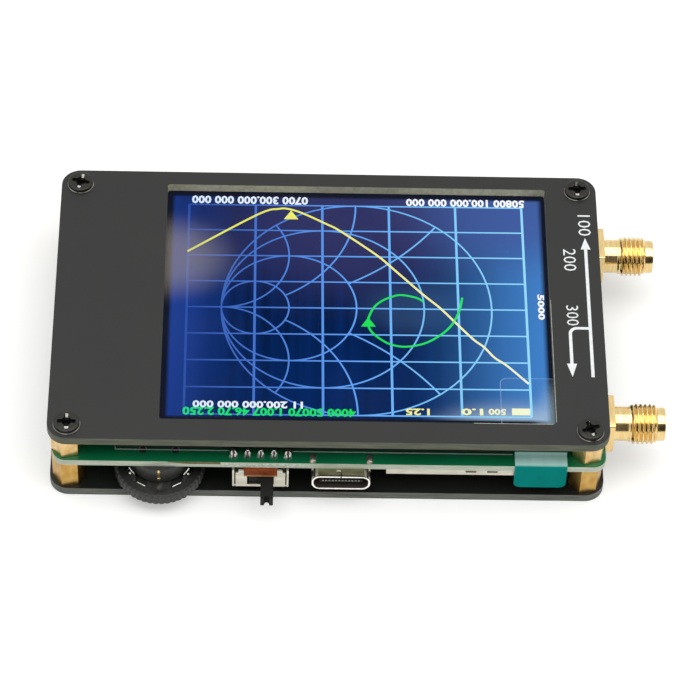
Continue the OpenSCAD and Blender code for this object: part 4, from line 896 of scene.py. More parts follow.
def port_barrel():
    """The barrel about X: neck, helical thread, plain tip and the socket in its end."""
    thread_x = FLANGE_T + NECK_L
    thread_l = PORT_PITCH * PORT_CRESTS
    tip_x = thread_x + thread_l + TIP_L
    turns = [2 * math.pi * k / PORT_SIDES for k in range(PORT_SIDES)]

    def ring(x, radius_at):
        return [(x, radius_at(t) * math.cos(t), radius_at(t) * math.sin(t)) for t in turns]

    def thread(x):
        def radius_at(t):
            phase = ((x - thread_x) / PORT_PITCH - t / (2 * math.pi)) % 1
            height = min(1, 1.25 * (1 - abs(2 * phase - 1)))
            fade = min(1, (x - thread_x) / PORT_PITCH, (thread_x + thread_l - x) / PORT_PITCH * 2)
            return ROOT_R + (THREAD_R - ROOT_R) * height * max(0, fade)
        return radius_at

    # A ring just before the thread keeps the neck's shading straight
    rings = [ring(x, lambda t: NECK_R) for x in (FLANGE_T / 2, thread_x - 0.2, thread_x - 0.12)]
    steps = PORT_CRESTS * RINGS_PER_PITCH
    for i in range(steps + 1):
        x = thread_x + thread_l * i / steps
        rings.append(ring(x, thread(x)))
    lip = [
        (thread_x + thread_l + 0.05, TIP_R), (tip_x - 0.12, TIP_R), (tip_x - 0.03, TIP_R - 0.04),
        (tip_x, TIP_R - 0.12), (tip_x, SOCKET_R + 0.06), (tip_x - 0.06, SOCKET_R),
        (tip_x - SOCKET_L, SOCKET_R), (tip_x - SOCKET_L, BORE_R), (FLANGE_T / 2, BORE_R),
    ]
    rings += [ring(x, lambda t, r=r: r) for x, r in lip]
    return loft(rings, wrap=True)


def port_flange(low, high, axis_z):
    """The square flange with its bore, and four legs that grip the board."""
    half = FLANGE_W / 2
    outline = rounded_outline((-half, -half), (half, half), 0.25, 3)
    rings = [
        [(x, y * share, z * share) for y, z in outline]
        for x, share in ((0, 0.97), (0.1, 1), (FLANGE_T - 0.12, 1), (FLANGE_T, 0.965))
    ]
    bore = placed(lathe([(0, -1), (BORE_R, -1), (BORE_R, 3), (0, 3)]), turn=90, axis="Y")
    flange = combined(loft(rings), bore)
    leg, inset, reach = 0.9, 0.3, board_high.x - low.x
    legs = []
    for side in (-1, 1):
        for z in (board_top - axis_z, board_low.z - leg - axis_z):
            y = side * (half - inset - leg / 2)
            legs.append(block((-reach, y - leg / 2, z), (FLANGE_T / 2, y + leg / 2, z + leg)))
    return fused(flange, *legs)


# Solder round the legs: mounds, twice as long as wide
FILLET_R, FILLET_H = 0.85, 0.5
FILLET_FLANK = [(FILLET_R * r, z) for r, z in arc((0, 0), 1, 75, 0, 5)]
fillets = []
for node in ("near_port_body", "far_port_body"):
    low, high = extent(node)
    axis_y = (low.y + high.y) / 2
    axis_z = (extent("port_insulators")[0].z + extent("port_insulators")[1].z) / 2
    at = (board_high.x, axis_y, axis_z)
    shape = fused(port_flange(low, high, axis_z), port_barrel())
    piece(node.replace("_body", ""), placed(shape, at), stands_for=[node], slot="gold_plate")
    for side in (-1, 1):
        y = axis_y + side * (FLANGE_W / 2 - 0.65)
        mound = [(0, FILLET_H)] + [(r, z * FILLET_H) for r, z in FILLET_FLANK] + [(0, 0)]
        verts, faces = lathe(mound, 24)
        lump = [(vx * 2, vy, vz) for vx, vy, vz in verts], faces
        fillets.append(rough(placed(lump, (board_high.x - 2.2, y, board_top - 0.01)), 0.6, 0.06))
piece("port_solder", join(*fillets), slot="tinned_metal")


# Jog wheel: a toothed ring with a pocket round its hub, a spoke to the front and a bent spring wire
WHEEL_TEETH, TOOTH_H = 46, 0.18
RIM_W, POCKET_H, SPOKE_W, HUB_R, AXLE_R = 1.6, 0.5, 3.7, 2.5, 1.55
WIRE_R = 0.16
wheel_r = (wheel_high.x - wheel_low.x) / 2
wheel_at = ((wheel_low.x + wheel_high.x) / 2, (wheel_low.y + wheel_high.y) / 2, wheel_low.z)
wheel_t = wheel_high.z - wheel_low.z


def wheel():
    """The wheel about its own centre, from its underside up."""
    steps = WHEEL_TEETH * 8
    outline = []
    for i in range(steps):
        turn = 2 * math.pi * i / steps
        tooth = abs(math.cos(WHEEL_TEETH * turn / 2)) ** 0.7
        r = wheel_r - TOOTH_H * (1 - tooth)
        outline.append((r * math.cos(turn), r * math.sin(turn)))
    rings = [
        [(x * share, y * share, z) for x, y in outline]
        for z, share in ((0, 0.965), (0.18, 1), (wheel_t - 0.22, 1), (wheel_t, 0.96))
    ]
    pocket_r = wheel_r - RIM_W
    half = math.degrees(math.asin(SPOKE_W / 2 / pocket_r))
    inner = math.degrees(math.asin(min(1, SPOKE_W / 2 / HUB_R)))
    pocket = arc((0, 0), pocket_r, -90 + half, 270 - half, 60)
    pocket += arc((0, 0), HUB_R, 270 - inner, -90 + inner, 40)
    body = combined(loft(rings), prism(pocket, wheel_t - POCKET_H, wheel_t + 1))
    bore = lathe([(0, -1), (AXLE_R, -1), (AXLE_R, 4), (0, 4)])
    dimple = lathe([(0, -0.1), (0.25, -0.07), (0.36, 0), (0.36, 1), (0, 1)], 24)
    return combined(combined(body, bore), placed(dimple, (0, -5.5, wheel_t)))


def spring_path():
    """The wire: straight from one side of the spoke, along the rim, round the hub, and back likewise."""
    gap = WIRE_R + 0.05
    hub_r, rim_r = HUB_R + gap, wheel_r - RIM_W - gap
    foot = math.degrees(math.asin((SPOKE_W / 2 + gap) / rim_r))
    right = arc((0, 0), rim_r, -90 + foot, -49, 1) + arc((0, 0), rim_r, -44, -20, 3)
    left = [(-x, y) for x, y in reversed(right)]
    z = wheel_t - POCKET_H + gap
    return smooth_path([(x, y, z) for x, y in right + arc((0, 0), hub_r, -8, 188, 14) + left], 4)


piece("jog_wheel_ring", placed(wheel(), wheel_at), SHADED_WHEEL_NYLON, "jog_dial", ["jog_wheel"],
      "black_moulding", 0.05, smooth=40)
piece("jog_spring_wire", placed(tube(spring_path(), WIRE_R), wheel_at), None, "jog_dial", ["jog_spring"],
      "spring_steel")


# Jog contacts: bent strips on the housing, and the leaf behind the carrier
STRIP_T, BEAD_R = 0.2, 0.25


def jog_strips():
    """Two slanted prongs with a round tip each and a bowed leaf behind the carrier; then the front clip."""
    strips, clips = [], []
    for low, high in solids("jog_contacts"):
        middle, size = (low + high) / 2, high - low
        if size.x > 2:
            bow = [(low.x + size.x * i / 8, middle.y + 0.06 * math.sin(math.pi * i / 8)) for i in range(9)]
            strips.append(ribbon(bow, STRIP_T - 0.08, low.z, high.z))
        elif abs(middle.x - wheel_at[0]) > 2:
            side = 1 if middle.x > wheel_at[0] else -1
            inner, outer = (low.x, high.x) if side > 0 else (high.x, low.x)
            slant = [(outer - side * 0.1, high.y - 0.1, high.z - 0.15), (middle.x, middle.y, middle.z),
                     (inner + side * 0.1, low.y + 0.15, low.z + 0.2)]
            strips.append(tube(smooth_path(slant, 5), 0.14))
            bead = lathe(arc((0, 0), BEAD_R, 90, -90, 12), 20)
            strips.append(placed(bead, (outer - side * BEAD_R, low.y + BEAD_R, low.z + BEAD_R)))
        else:
            bow = [(low.x + size.x * i / 6, middle.y - 0.05 * math.sin(math.pi * i / 6)) for i in range(7)]
            clips.append(ribbon(bow, STRIP_T - 0.04, low.z, high.z))
            clip_x, clip_y = middle.x, middle.y
    heights = [v[2] for v in join(*clips)[0]]
    link_low = (clip_x - 0.17, clip_y - 0.06, min(heights))
    link_high = (clip_x + 0.17, clip_y + 0.04, max(heights) + 0.25)
    return join(*strips), join(block(link_low, link_high), *clips)


def housing_lugs():
    """Two flat lugs that reach forward from the housing's sides, just over the wheel."""
    plan = [
        (4.15, -1.7), (4.5, -2.75), (4.3, -3.4), (4.05, -4.1), (3.5, -4.15), (3.6, -3.3), (3.75, -1.7),
    ]
    lugs = []
    for side in (-1, 1):
        outline = [(wheel_at[0] + side * x, wheel_at[1] + y) for x, y in plan]
        lugs.append(prism(outline[::side], wheel_high.z + 0.07, wheel_high.z + 0.27))
    return join(*lugs)


piece("jog_housing_lugs", housing_lugs(), slot="black_moulding", bevel=0.05)
contact_strips, contact_clips = jog_strips()
piece("jog_contact_strips", contact_strips, stands_for=["jog_contacts"], slot="spring_steel")
piece("jog_contact_clips", contact_clips, slot="gold_plate", bevel=0.04)


# Slide switch: a bent sheet shell and a moulded lever
SHEET_T, EAR_W, SLOT_LIP, BASE_DEPTH = 0.3, 0.8, 0.5, 1.5
NOTCH_HALF, NOTCH_DEPTH = 0.42, 0.55


def switch_sheet():
    """The shell: floor, end walls, back and legs, and a front with a slot and two crimped ears."""
    x0, x1, y0, y1, z0 = shell_low.x, shell_high.x, shell_low.y, shell_high.y, shell_low.z
    z1 = board_low.z
    middle = (x0 + x1) / 2
    slot_half, front_half, base_z, lip_z = 2.05, (x1 - x0) / 2 - 0.5, z1 - BASE_DEPTH, z0 + SLOT_LIP
    ear_in = slot_half + 0.5
    ear_out, ear_top = ear_in + EAR_W, z1 - 0.05
    right = [
        (0, z0), (front_half, z0), (front_half, z1 - 0.62), (ear_out, z1 - 0.55), (ear_out, ear_top),
        (ear_in, ear_top), (ear_in, base_z), (slot_half, base_z), (slot_half, lip_z), (0, lip_z),
    ]
    outline = [(middle + x, z) for x, z in right] + [(middle - x, z) for x, z in right[-2:0:-1]]
    front = placed(prism(outline, -SHEET_T, 0), (0, y0, 0), 90, "X")
    floor = block((x0, y0 + 0.1, z0), (x1, y1, z0 + SHEET_T))
    back = block((x0, y1 - SHEET_T, z0), (x1, y1, z1))
    parts = [floor, front, back]
    leg_y = sum(b.y for b in solids("switch_terminals")[0]) / 2
    for side in (-1, 1):
        x = middle + side * ((x1 - x0) / 2 - SHEET_T / 2)
        left, right = x - SHEET_T / 2, x + SHEET_T / 2
        parts.append(block((left, y0, z0), (right, y1, z1)))
        parts.append(block((left, leg_y - 0.45, z1 - 1), (right, leg_y + 0.45, shell_high.z)))
        bump = lathe([(0, 0.16), (0.15, 0.13), (0.26, 0), (0.26, -0.2), (0, -0.2)], 20)
        ear_x = middle + side * (ear_in + EAR_W / 2)
        parts.append(placed(bump, (ear_x, y0, z1 - 0.6), 90, "X"))
    return fused(*parts)


piece("switch_sheet_shell", switch_sheet(), stands_for=["switch_shell"], slot="nickel_sheet", bevel=0.06)
slider_low, slider_high = extent("switch_slider")
slider_x = (slider_low.x + slider_high.x) / 2


def switch_lever():
    """The sliding block with its lever: a bar with a round notch in its end."""
    low, high = slider_low, slider_high
    half, lever_t, block_d, bevel = 0.98, 1.7, 2.2, 0.12
    y_block = high.y - block_d
    lever_z = (board_low.z - BASE_DEPTH + shell_low.z + SLOT_LIP) / 2
    # The left half of the outline, with distances along Y counted from the lever's end
    left = [(-half, y_block + 1 - low.y), (-half, bevel), (-half + bevel, 0)]
    curve = ((1, 0), (0.9, 0.5), (0.5, 0.9))
    left += [(-across * NOTCH_HALF, deep * NOTCH_DEPTH) for across, deep in curve]
    outline = left + [(0, NOTCH_DEPTH)] + [(-px, y) for px, y in reversed(left)]
    outline = [(slider_x + px, low.y + y) for px, y in outline]
    bar = prism(outline, lever_z - lever_t / 2, lever_z + lever_t / 2)
    body = block((low.x, y_block, low.z), (high.x, high.y, high.z))
    seat_low, seat_high = extent("switch_wiper")
    seat_high = (seat_high.x + 0.05, seat_high.y + 0.02, high.z + 1)
    seat = block((seat_low.x - 0.05, seat_low.y - 0.02, seat_low.z), seat_high)
    return combined(fused(body, bar), seat)


def in_notch(at):
    """Whether a place lies on the inside of the lever's notch."""
    return abs(at.x - slider_x) < NOTCH_HALF and at.y < slider_low.y + NOTCH_DEPTH + 0.01


lever_piece = piece(
    "switch_lever_block", switch_lever(), DARK_ACETAL, "switch_lever", ["switch_slider"],
    "black_moulding", 0.06)
# Painted shade inside the notch
paint(lever_piece, PAINTED_RECESS_SHADE, in_notch)


# Charging socket: a drawn shell with a flat mouth and a hooked seam in its top. Its lip carries a painted
# highlight, its top and its inside painted shade
SOCKET_WALL, SOCKET_CORNER = 0.3, 1.35
SEAM_W, SEAM_DEPTH = 0.16, 0.35
LEG_ROWS = (0.9, 4.7)


def socket_shell():
    """The shell along Y, open to the front, with its legs and the groove of its seam."""
    x0, x1, y0, y1 = socket_low.x, socket_high.x, socket_low.y, socket_high.y
    z0, z1 = socket_low.z, board_low.z

    def ring(y, inset):
        low, high = (x0 + inset, z0 + inset), (x1 - inset, z1 - inset)
        return [(x, y, z) for x, z in rounded_outline(low, high, SOCKET_CORNER - inset, 10)]

    mouth = [
        (y1, 0), (y0 + 0.5, 0), (y0 + 0.46, 0.06), (y0 + 0.33, 0.06), (y0 + 0.29, 0),
        (y0 + 0.04, 0), (y0, 0.04), (y0, SOCKET_WALL - 0.04), (y0 + 0.04, SOCKET_WALL),
        (y1 - SOCKET_WALL, SOCKET_WALL),
    ]
    shell = loft([ring(y, inset) for y, inset in mouth])
    legs = []
    for side in (x0 + SOCKET_WALL / 2, x1 - SOCKET_WALL / 2):
        for y in [front_edge + row for row in LEG_ROWS]:
            leg_low = (side - SOCKET_WALL / 2, y - 0.55, (z0 + z1) / 2)
            legs.append(block(leg_low, (side + SOCKET_WALL / 2, y + 0.55, board_top - 0.05)))
    # The seam runs back from the mouth and hooks to the left, round a small raised key
    x = (x0 + x1) / 2
    floor, over, hook_y = z1 - SEAM_DEPTH, z1 + 1, y0 + 0.9
    slit = block((x - SEAM_W / 2, y0 - 0.1, floor), (x + SEAM_W / 2, hook_y, over))
    hook = block((x - 0.6, hook_y - SEAM_W, floor), (x + SEAM_W / 2, hook_y, over))
    shell = combined(shell, fused(slit, hook))
    near, far = hook_y + 0.05, hook_y + 0.42
    key = [(x - 0.74, near), (x - 0.04, near), (x - 0.14, far), (x - 0.66, far)]
    shell = fused(shell, prism(key, z1 - 0.1, z1 + 0.06))
    return fused(shell, *legs)


def in_socket(at):
    """Whether a place lies on the inner walls of the charging socket, or in the seam of its top."""
    inset, top = SOCKET_WALL - 0.02, board_low.z
    across = socket_low.x + inset < at.x < socket_high.x - inset
    inner = across and socket_low.z + inset < at.z < top - inset and at.y > socket_low.y + 0.06
    seam_x = at.x - (socket_low.x + socket_high.x) / 2
    seam = -0.62 < seam_x < 0.1 and top - SEAM_DEPTH < at.z < top - 0.02 and at.y < socket_low.y + 0.92
    return inner or seam


def on_socket_top(at):
    """Whether a place lies on the flat top of the charging socket, behind its lip."""
    return -0.08 < at.z - board_low.z < 0.01 and at.y > socket_low.y + 0.3


def on_socket_lip(at):
    """Whether a place lies on the socket's lip or on the key of its seam."""
    return at.y < socket_low.y + 0.28 or 0.01 < at.z - board_low.z < 0.1


socket_piece = piece(
    "charge_socket_shell", socket_shell(), stands_for=["charge_shell"], slot="nickel_sheet", smooth=30)
# The upper contacts' tips, which show in the tongue's front edge
tongue_y = extent("charge_tongue")[0].y
tips = []
for low, high in solids("charge_contacts"):
    if low.z > (socket_low.z + board_low.z) / 2:
        tips.append(block((low.x, tongue_y - 0.04, high.z - 0.5), (high.x, low.y, high.z - 0.25)))
piece("charge_contact_tips", join(*tips), MATT_TIN)
# Painted shade on the top and the inside; painted highlight on the lip and the key of the seam
paint(socket_piece, TOP_SHADE_NICKEL, on_socket_top)
paint(socket_piece, LIP_HIGHLIGHT_NICKEL, on_socket_lip)
paint(socket_piece, SOCKET_INSIDE_SHADE, in_socket)


# Solder on the board's front edge


def solder_cone(radius, height, seed):
    """A frozen bead of solder: a wide foot, a full flank and a blunt tip round the pin."""
    steps = 7
    flank = [(radius * (1 - 0.6 * (i / steps) ** 1.5), height * i / steps) for i in range(steps + 1)]
    shape = lathe([(0, 0)] + flank + [(0, height * 1.05)], 24)
    return rough(placed(shape, (0, 0, 0), seed * 50), 0.6, 0.08)


def solder_mound(size, height):
    """A long flat mound of solder over a leg."""
    rings = []
    for i in range(7):
        share = math.cos(math.radians(13 * i))
        x, y = size.x / 2 * share, size.y / 2 * share
        outline = rounded_outline((-x, -y), (x, y), 0.44 * share, 5)
        rings.append([(x, y, height * math.sin(math.radians(13 * i))) for x, y in outline])
    return rough(loft(rings), 0.5, 0.07)


joints = solids("solder_joints")
cones, mounds = [], []
for i, (low, high) in enumerate(joints):
    middle, size = (low + high) / 2, high - low
    at = (middle.x, middle.y, low.z)
    if size.z > 0.5:
        cones.append(placed(solder_cone(size.x / 2 * 1.15, size.z + 0.08, i), at))
    else:
        mounds.append(placed(solder_mound(size, 0.42), at))


def on_bead_front(at):
    """Whether a place lies on the front of a solder bead, which is drawn dark brown."""
    middles = [(low + high) / 2 for low, high in joints]
    return any(abs(at.x - middle.x) < 0.17 and at.y < middle.y for middle in middles)


switch_solder = piece(
    "switch_solder", join(*cones), stands_for=["solder_joints"], slot="tinned_metal", smooth=60)
paint(switch_solder, DARK_BEAD_FRONT, on_bead_front)
piece("socket_solder", join(*mounds), FLUX_SOLDER, slot="tinned_metal", smooth=60)


# Board trim: printed outline behind the controls, and the rough stub of a snapped break-off tab
PRINT_T = 0.015
PRINT_W = 0.16
stub_x0, stub_x1 = -16.4, -3.6
outline_y = -24.75
outline_x0, outline_x1 = -32.5, 28.2
pins = solids("switch_terminals")
gap_x0, gap_x1 = pins[0][0].x - 2.6, pins[-1][1].x + 2.6

printed_lines = [
    [(outline_x0, outline_y + 1.9), (outline_x0, outline_y)],
    [(outline_x0, outline_y), (gap_x0, outline_y)],
    [(gap_x1, outline_y), (outline_x1, outline_y)],
]
printed_lines = [ribbon(line, PRINT_W, board_top, board_top + PRINT_T) for line in printed_lines]
piece("board_print", join(*printed_lines), WHITE_INK)

rows = []
for i in range(33):
    x = stub_x0 + (stub_x1 - stub_x0) * i / 32
    swell = math.sin(math.pi * i / 32) ** 0.3
    out = 0.06 + 0.16 * swell * (0.6 + 0.4 * noise.noise(Vector((x * 1.7, 0, 0))))
    z1 = board_top - 0.08 - 0.25 * (0.5 + 0.5 * noise.noise(Vector((x * 1.1, 5, 0))))
    rows.append([(x, front_edge + 0.05, board_low.z + 0.1), (x, front_edge - out, board_low.z + 0.2),
                 (x, front_edge - out * 0.8, z1 - 0.1), (x, front_edge + 0.05, z1)])
piece("break_off_stub", loft(rows), BROKEN_LAMINATE, smooth=50)

# Beside the stub the router took the mask off the board's top edge
ROUTED_X0 = -24.4
rows = []
for i in range(25):
    x = ROUTED_X0 + (stub_x0 - ROUTED_X0) * i / 24
    drop = 0.12 + 0.42 * min(1, i / 8) * (0.9 + 0.25 * noise.noise(Vector((x * 0.9, 3, 0))))
    y0, y1 = front_edge - 0.015, front_edge + 0.03
    z0, z1 = board_top - drop, board_top + 0.006
    rows.append([(x, y0, z0), (x, y0, z1), (x, y1, z1), (x, y1, z0)])
piece("routed_edge", loft(rows), ROUTED_LAMINATE, smooth=50)


# Pull tab: one strip of film, stuck to the screen, folded down and over the board's edge
TAB_T, TAB_R, FOLD_R = 0.15, 1.0, 0.45


def fold_points(corners, radius):
    """A path of (y, z) points with each inner corner rounded."""
    path = [Vector(corners[0])]
    for before, corner, after in zip(corners, corners[1:], corners[2:]):
        before, corner, after = Vector(before), Vector(corner), Vector(after)
        start = corner + (before - corner).normalized() * radius
        end = corner + (after - corner).normalized() * radius
        for i in range(7):
            t = i / 6
            path.append((1 - t) ** 2 * start + 2 * t * (1 - t) * corner + t ** 2 * end)
    return path + [Vector(corners[-1])]


def pull_tab():
    """The strip, with the corners of its free end rounded."""
    x0, x1 = tab_low.x, tab_high.x
    mid = TAB_T / 2
    stuck_y, fold_y = tab_high.y, extent("screen_tray")[0].y - 0.12
    hang_y = tab_low.y + mid
    corners = [(stuck_y, film_high.z + mid), (fold_y, film_high.z + mid), (fold_y - 0.05, board_top + mid),
               (hang_y, board_top + mid), (hang_y, tab_low.z)]
    path = fold_points(corners, FOLD_R)
    end = path.pop()
    last = path[-1]
    steps = 24
    path += [last + (end - last) * i / steps for i in range(1, steps + 1)]
    rings = []
    for i, point in enumerate(path):
        ahead = (path[min(i + 1, len(path) - 1)] - path[max(i - 1, 0)]).normalized()
        out = Vector((-ahead.y, ahead.x)) * mid
        left = max(0, TAB_R - (point - end).length) if point.y < board_low.z else 0
        cut = TAB_R - math.sqrt(max(0, TAB_R ** 2 - left ** 2))
        a, b = x0 + cut, x1 - cut
        inner, outer = point - out, point + out
        rings.append([(a, *inner), (b, *inner), (b, *outer), (a, *outer)])
    return loft(rings)


piece("film_pull_tab", pull_tab(), stands_for=["pull_tab"], slot="teal_film", smooth=50)


# The screen's picture: thin lit strips on the touch glass, under the film
LINE_Z0, LINE_Z1 = touch_top + 0.002, touch_top + 0.012
OVER_Z0, OVER_Z1 = LINE_Z1 + 0.002, LINE_Z1 + 0.012
COLUMN_W, ROW_W, CHART_W, TRACE_W = 0.38, 0.26, 0.26, 0.36
CHART_R = GRID.y
LIT_WEIGHT, INK_WEIGHT = 0.035, -0.005


def strip(points, width, z0=LINE_Z0, z1=LINE_Z1):
    """A lit line through places on the screen."""
    return ribbon([on_screen(u, v) for u, v in points], width, z0, z1)


def grid_lines():
    """Five columns and eight rows."""
    lines = []
    for i in range(6):
        u = -GRID.x + 2 * GRID.x * i / 5
        lines.append(strip([(u, -GRID.y), (u, GRID.y)], COLUMN_W))
    for i in range(9):
        v = -GRID.y + 2 * GRID.y * i / 8
        lines.append(strip([(-GRID.x, v), (GRID.x, v)], ROW_W))
    return lines


def chart_lines():
    """An impedance chart: circles that touch at its left end, and arcs that part from that point."""
    lines = []
    for share in (1, 0.75, 0.5, 0.25):
        r = CHART_R * share
        lines.append(strip(arc((-CHART_R + r, 0), r, -180, 180, 96), CHART_W))
    # Each arc's reactance, and the circle at which it starts, as a share of the chart's radius
    for reactance, start_circle in ((2, 0), (1, 0.25), (0.5, 0.5)):
        r = CHART_R / reactance
        start, end = [2 * math.degrees(math.atan(circle * reactance)) - 90 for circle in (start_circle, 1)]
        points = arc((0, 0), r, start, end, 40)
        for side in (-1, 1):
            lines.append(strip([(x - CHART_R, side * (r + y)) for x, y in points], CHART_W))
    return lines


YELLOW_TRACE = [
    (-26.7, 11.3), (-15.6, 19.2), (-12.3, 20.4), (-10.7, 20.4), (-8.4, 19.5), (-4.8, 17.4),
    (-2.5, 15.9), (3.1, 11.1), (5.7, 8.3), (10.4, 3.0), (13.1, 0.2), (15.9, -3.3),
    (18.2, -6.1), (19.7, -7.5), (21.3, -9.6), (23.2, -11.2), (26.4, -14.7),
]
GREEN_TRACE = [
    (10.5, 1.5), (9.3, 2.3), (7.0, 2.8), (5.5, 2.4), (3.9, 1.5), (2.7, 0.2),
    (1.9, -1.7), (1.7, -3.1), (2.3, -4.7), (3.6, -6.1), (5.3, -7.2), (7.6, -7.6),
    (10.5, -6.9), (12.9, -5.3), (14.5, -3.6), (15.5, -1.8), (16.2, 0.2), (16.6, 2.4),
]


def trace(points):
    """A lit curve through places on the screen, over the grid."""
    path = smooth_path([(u, v, 0) for u, v in points], 5)
    return strip([(p.x, p.y) for p in path], TRACE_W, OVER_Z0, OVER_Z1)


def lit_patch(*corners):
    """A filled lit shape between places on the screen."""
    return prism([on_screen(u, v) for u, v in corners], OVER_Z0, OVER_Z1)


def marker(u, v):
    """A small triangle that points at a place on a trace."""
    return lit_patch((u, v), (u - 1.15, v - 1.85), (u + 1.15, v - 1.85))


def readout(text, low, high):
    """Upside-down digits in a box on the screen."""
    return numerals(text, on_screen(*low), on_screen(*high), OVER_Z0, OVER_Z1, 180, LIT_WEIGHT)


piece("screen_grid", join(*grid_lines()), GRID_LIGHT)
piece("screen_chart", join(*[placed(line, (0, 0, 0.001)) for line in chart_lines()]), GRID_LIGHT)
piece("screen_yellow_trace", join(trace(YELLOW_TRACE), marker(-10.3, 20.1)), YELLOW_LIGHT)
piece("screen_green_trace", join(trace(GREEN_TRACE), marker(1.8, -1.8)), GREEN_LIGHT)
piece("screen_white_digits", join(
    readout("0700 300.000 000 000", (-26.2, 21.4), (-7.6, 23.0)),
    readout("50800 100.000 000 000", (8.1, 21.3), (27.1, 22.8)),
    readout("11 200.000 000 000", (-25.3, -19.9), (-8.4, -18.6)),
    numerals("5000", on_screen(28.4, -1.9), on_screen(29.5, 3.2), OVER_Z0, OVER_Z1, 90, LIT_WEIGHT),
), WHITE_LIGHT)
green_digits = readout("4000 50070 1.007 46.70 2.250", (-26.8, -21.4), (-0.3, -19.9))
piece("screen_green_digits", green_digits, GREEN_LIGHT)
piece("screen_yellow_digits", join(
    readout("1.25", (7.3, -21.0), (11.0, -19.7)),
    readout("1.0", (15.8, -20.9), (19.2, -19.6)),
    readout("500", (20.0, -20.8), (22.7, -19.6)),
    lit_patch((23.6, -20.8), (26.4, -20.8), (26.4, -19.5), (23.6, -19.5)),
), YELLOW_LIGHT)


# Protective film over the screen, and the clear adhesive patch of its tab
FILM_Z0 = OVER_Z1 + 0.01
film_outline = rounded_outline((film_low.x, film_low.y), (film_high.x, film_high.y), 0.5)
screen_film = prism(film_outline, FILM_Z0, film_high.z)
piece("screen_film", screen_film, stands_for=["protective_film"], slot="clear_film")
PATCH_LOW, PATCH_HIGH, PATCH_R, PATCH_T = (26.4, -23.6), (35.6, -12.9), 1.0, 0.03
PATCH_RIM_W, PATCH_RIM_T = 0.16, 0.01
patch_outline = rounded_outline(PATCH_LOW, PATCH_HIGH, PATCH_R)
patch_top = film_high.z + PATCH_T
piece("film_patch", prism(patch_outline, film_high.z, patch_top), STICKER, slot="clear_film")
patch_rim = ribbon(patch_outline, PATCH_RIM_W, patch_top, patch_top + PATCH_RIM_T, True)
piece("film_patch_rim", patch_rim, STICKER_RIM, slot="clear_film")


# Print on the front plate: two arrows between the ports, and plain numbers
ARROW_W, HEAD_HALF = 0.5, 0.78
LONG_X, LONG_FOOT, LONG_TIP, LONG_HEAD = 40.6, -13.8, 14.3, 11.95
SHORT_X, SHORT_TIP, SHORT_HEAD, BRANCH_Y, BRANCH_R = 37.45, -13.8, -11.2, -4.15, 1.1
INK_Z0, INK_Z1 = plate_top, plate_top + PRINT_T
WINDOW_LOW, WINDOW_HIGH, WINDOW_R = (-25.84, -23.0), (34.56, 24.3), 0.5


def arrow_head(x, tip, base):
    """A filled triangle from its base to its tip along Y."""
    return prism([(x, tip), (x - HEAD_HALF, base), (x + HEAD_HALF, base)], INK_Z0, INK_Z1)


branch = arc((SHORT_X + BRANCH_R, BRANCH_Y - BRANCH_R), BRANCH_R, 90, 180, 10)
branch = [(LONG_X - ARROW_W / 2, BRANCH_Y)] + branch + [(SHORT_X, SHORT_HEAD)]
# A painted highlight along the window's right edge and along its front edge near the patch, and painted
# light on its back wall
HIGHLIGHT_W, LIT_WALL_T = 0.1, 0.03
highlight_x, highlight_y = WINDOW_HIGH[0] + 0.06, WINDOW_LOW[1] - 0.05
piece("window_edge_highlight", join(
    ribbon([(highlight_x, WINDOW_LOW[1] + 0.4), (highlight_x, 1.5)], HIGHLIGHT_W, INK_Z0, INK_Z1),
    ribbon([(22, highlight_y), (WINDOW_HIGH[0] - 0.4, highlight_y)], HIGHLIGHT_W, INK_Z0, INK_Z1),
), WINDOW_EDGE_HIGHLIGHT)
window_outline = rounded_outline(WINDOW_LOW, WINDOW_HIGH, WINDOW_R, 8)
back_wall = sorted((x, y) for x, y in window_outline if y > WINDOW_HIGH[1] - 0.45)
back_wall = ribbon(back_wall, LIT_WALL_T, plate_low.z + 0.01, plate_top - 0.004)
piece("window_wall_painted_light", back_wall, LIT_WINDOW_WALL)
piece("port_arrows", join(
    ribbon([(LONG_X, LONG_FOOT), (LONG_X, LONG_HEAD)], ARROW_W, INK_Z0, INK_Z1),
    arrow_head(LONG_X, LONG_TIP, LONG_HEAD),
    ribbon(branch, ARROW_W, INK_Z0, INK_Z1),
    arrow_head(SHORT_X, SHORT_TIP, SHORT_HEAD),
), WHITE_INK)
piece("port_numbers", join(
    numerals("100", (39.6, 14.8), (41.6, 19.1), INK_Z0, INK_Z1, 90, INK_WEIGHT),
    numerals("200", (37.0, 7.5), (39.0, 12.0), INK_Z0, INK_Z1, 90, INK_WEIGHT),
    numerals("300", (37.0, -3.6), (38.9, 0.4), INK_Z0, INK_Z1, 90, INK_WEIGHT),
), WHITE_INK)


# Small parts under the board: ceramic bodies with tinned ends
END_SHARE = 0.24


def small_parts():
    """Each small part's body and its two ends, from the frame's solids."""
    bodies, ends = [], []
    for low, high in solids("passives"):
        end, inset = (high.y - low.y) * END_SHARE, 0.04
        body_low = (low.x + inset, low.y + end, low.z + inset)
        bodies.append(block(body_low, (high.x - inset, high.y - end, high.z)))
        ends.append(block(low, (high.x, low.y + end, high.z)))
        ends.append(block((low.x, high.y - end, low.z), high))
    return join(*bodies), join(*ends)


part_bodies, part_ends = small_parts()
piece("small_part_bodies", part_bodies, stands_for=["passives"], slot="tan_ceramic", bevel=0.04)
piece("small_part_ends", part_ends, slot="tinned_metal", bevel=0.06)


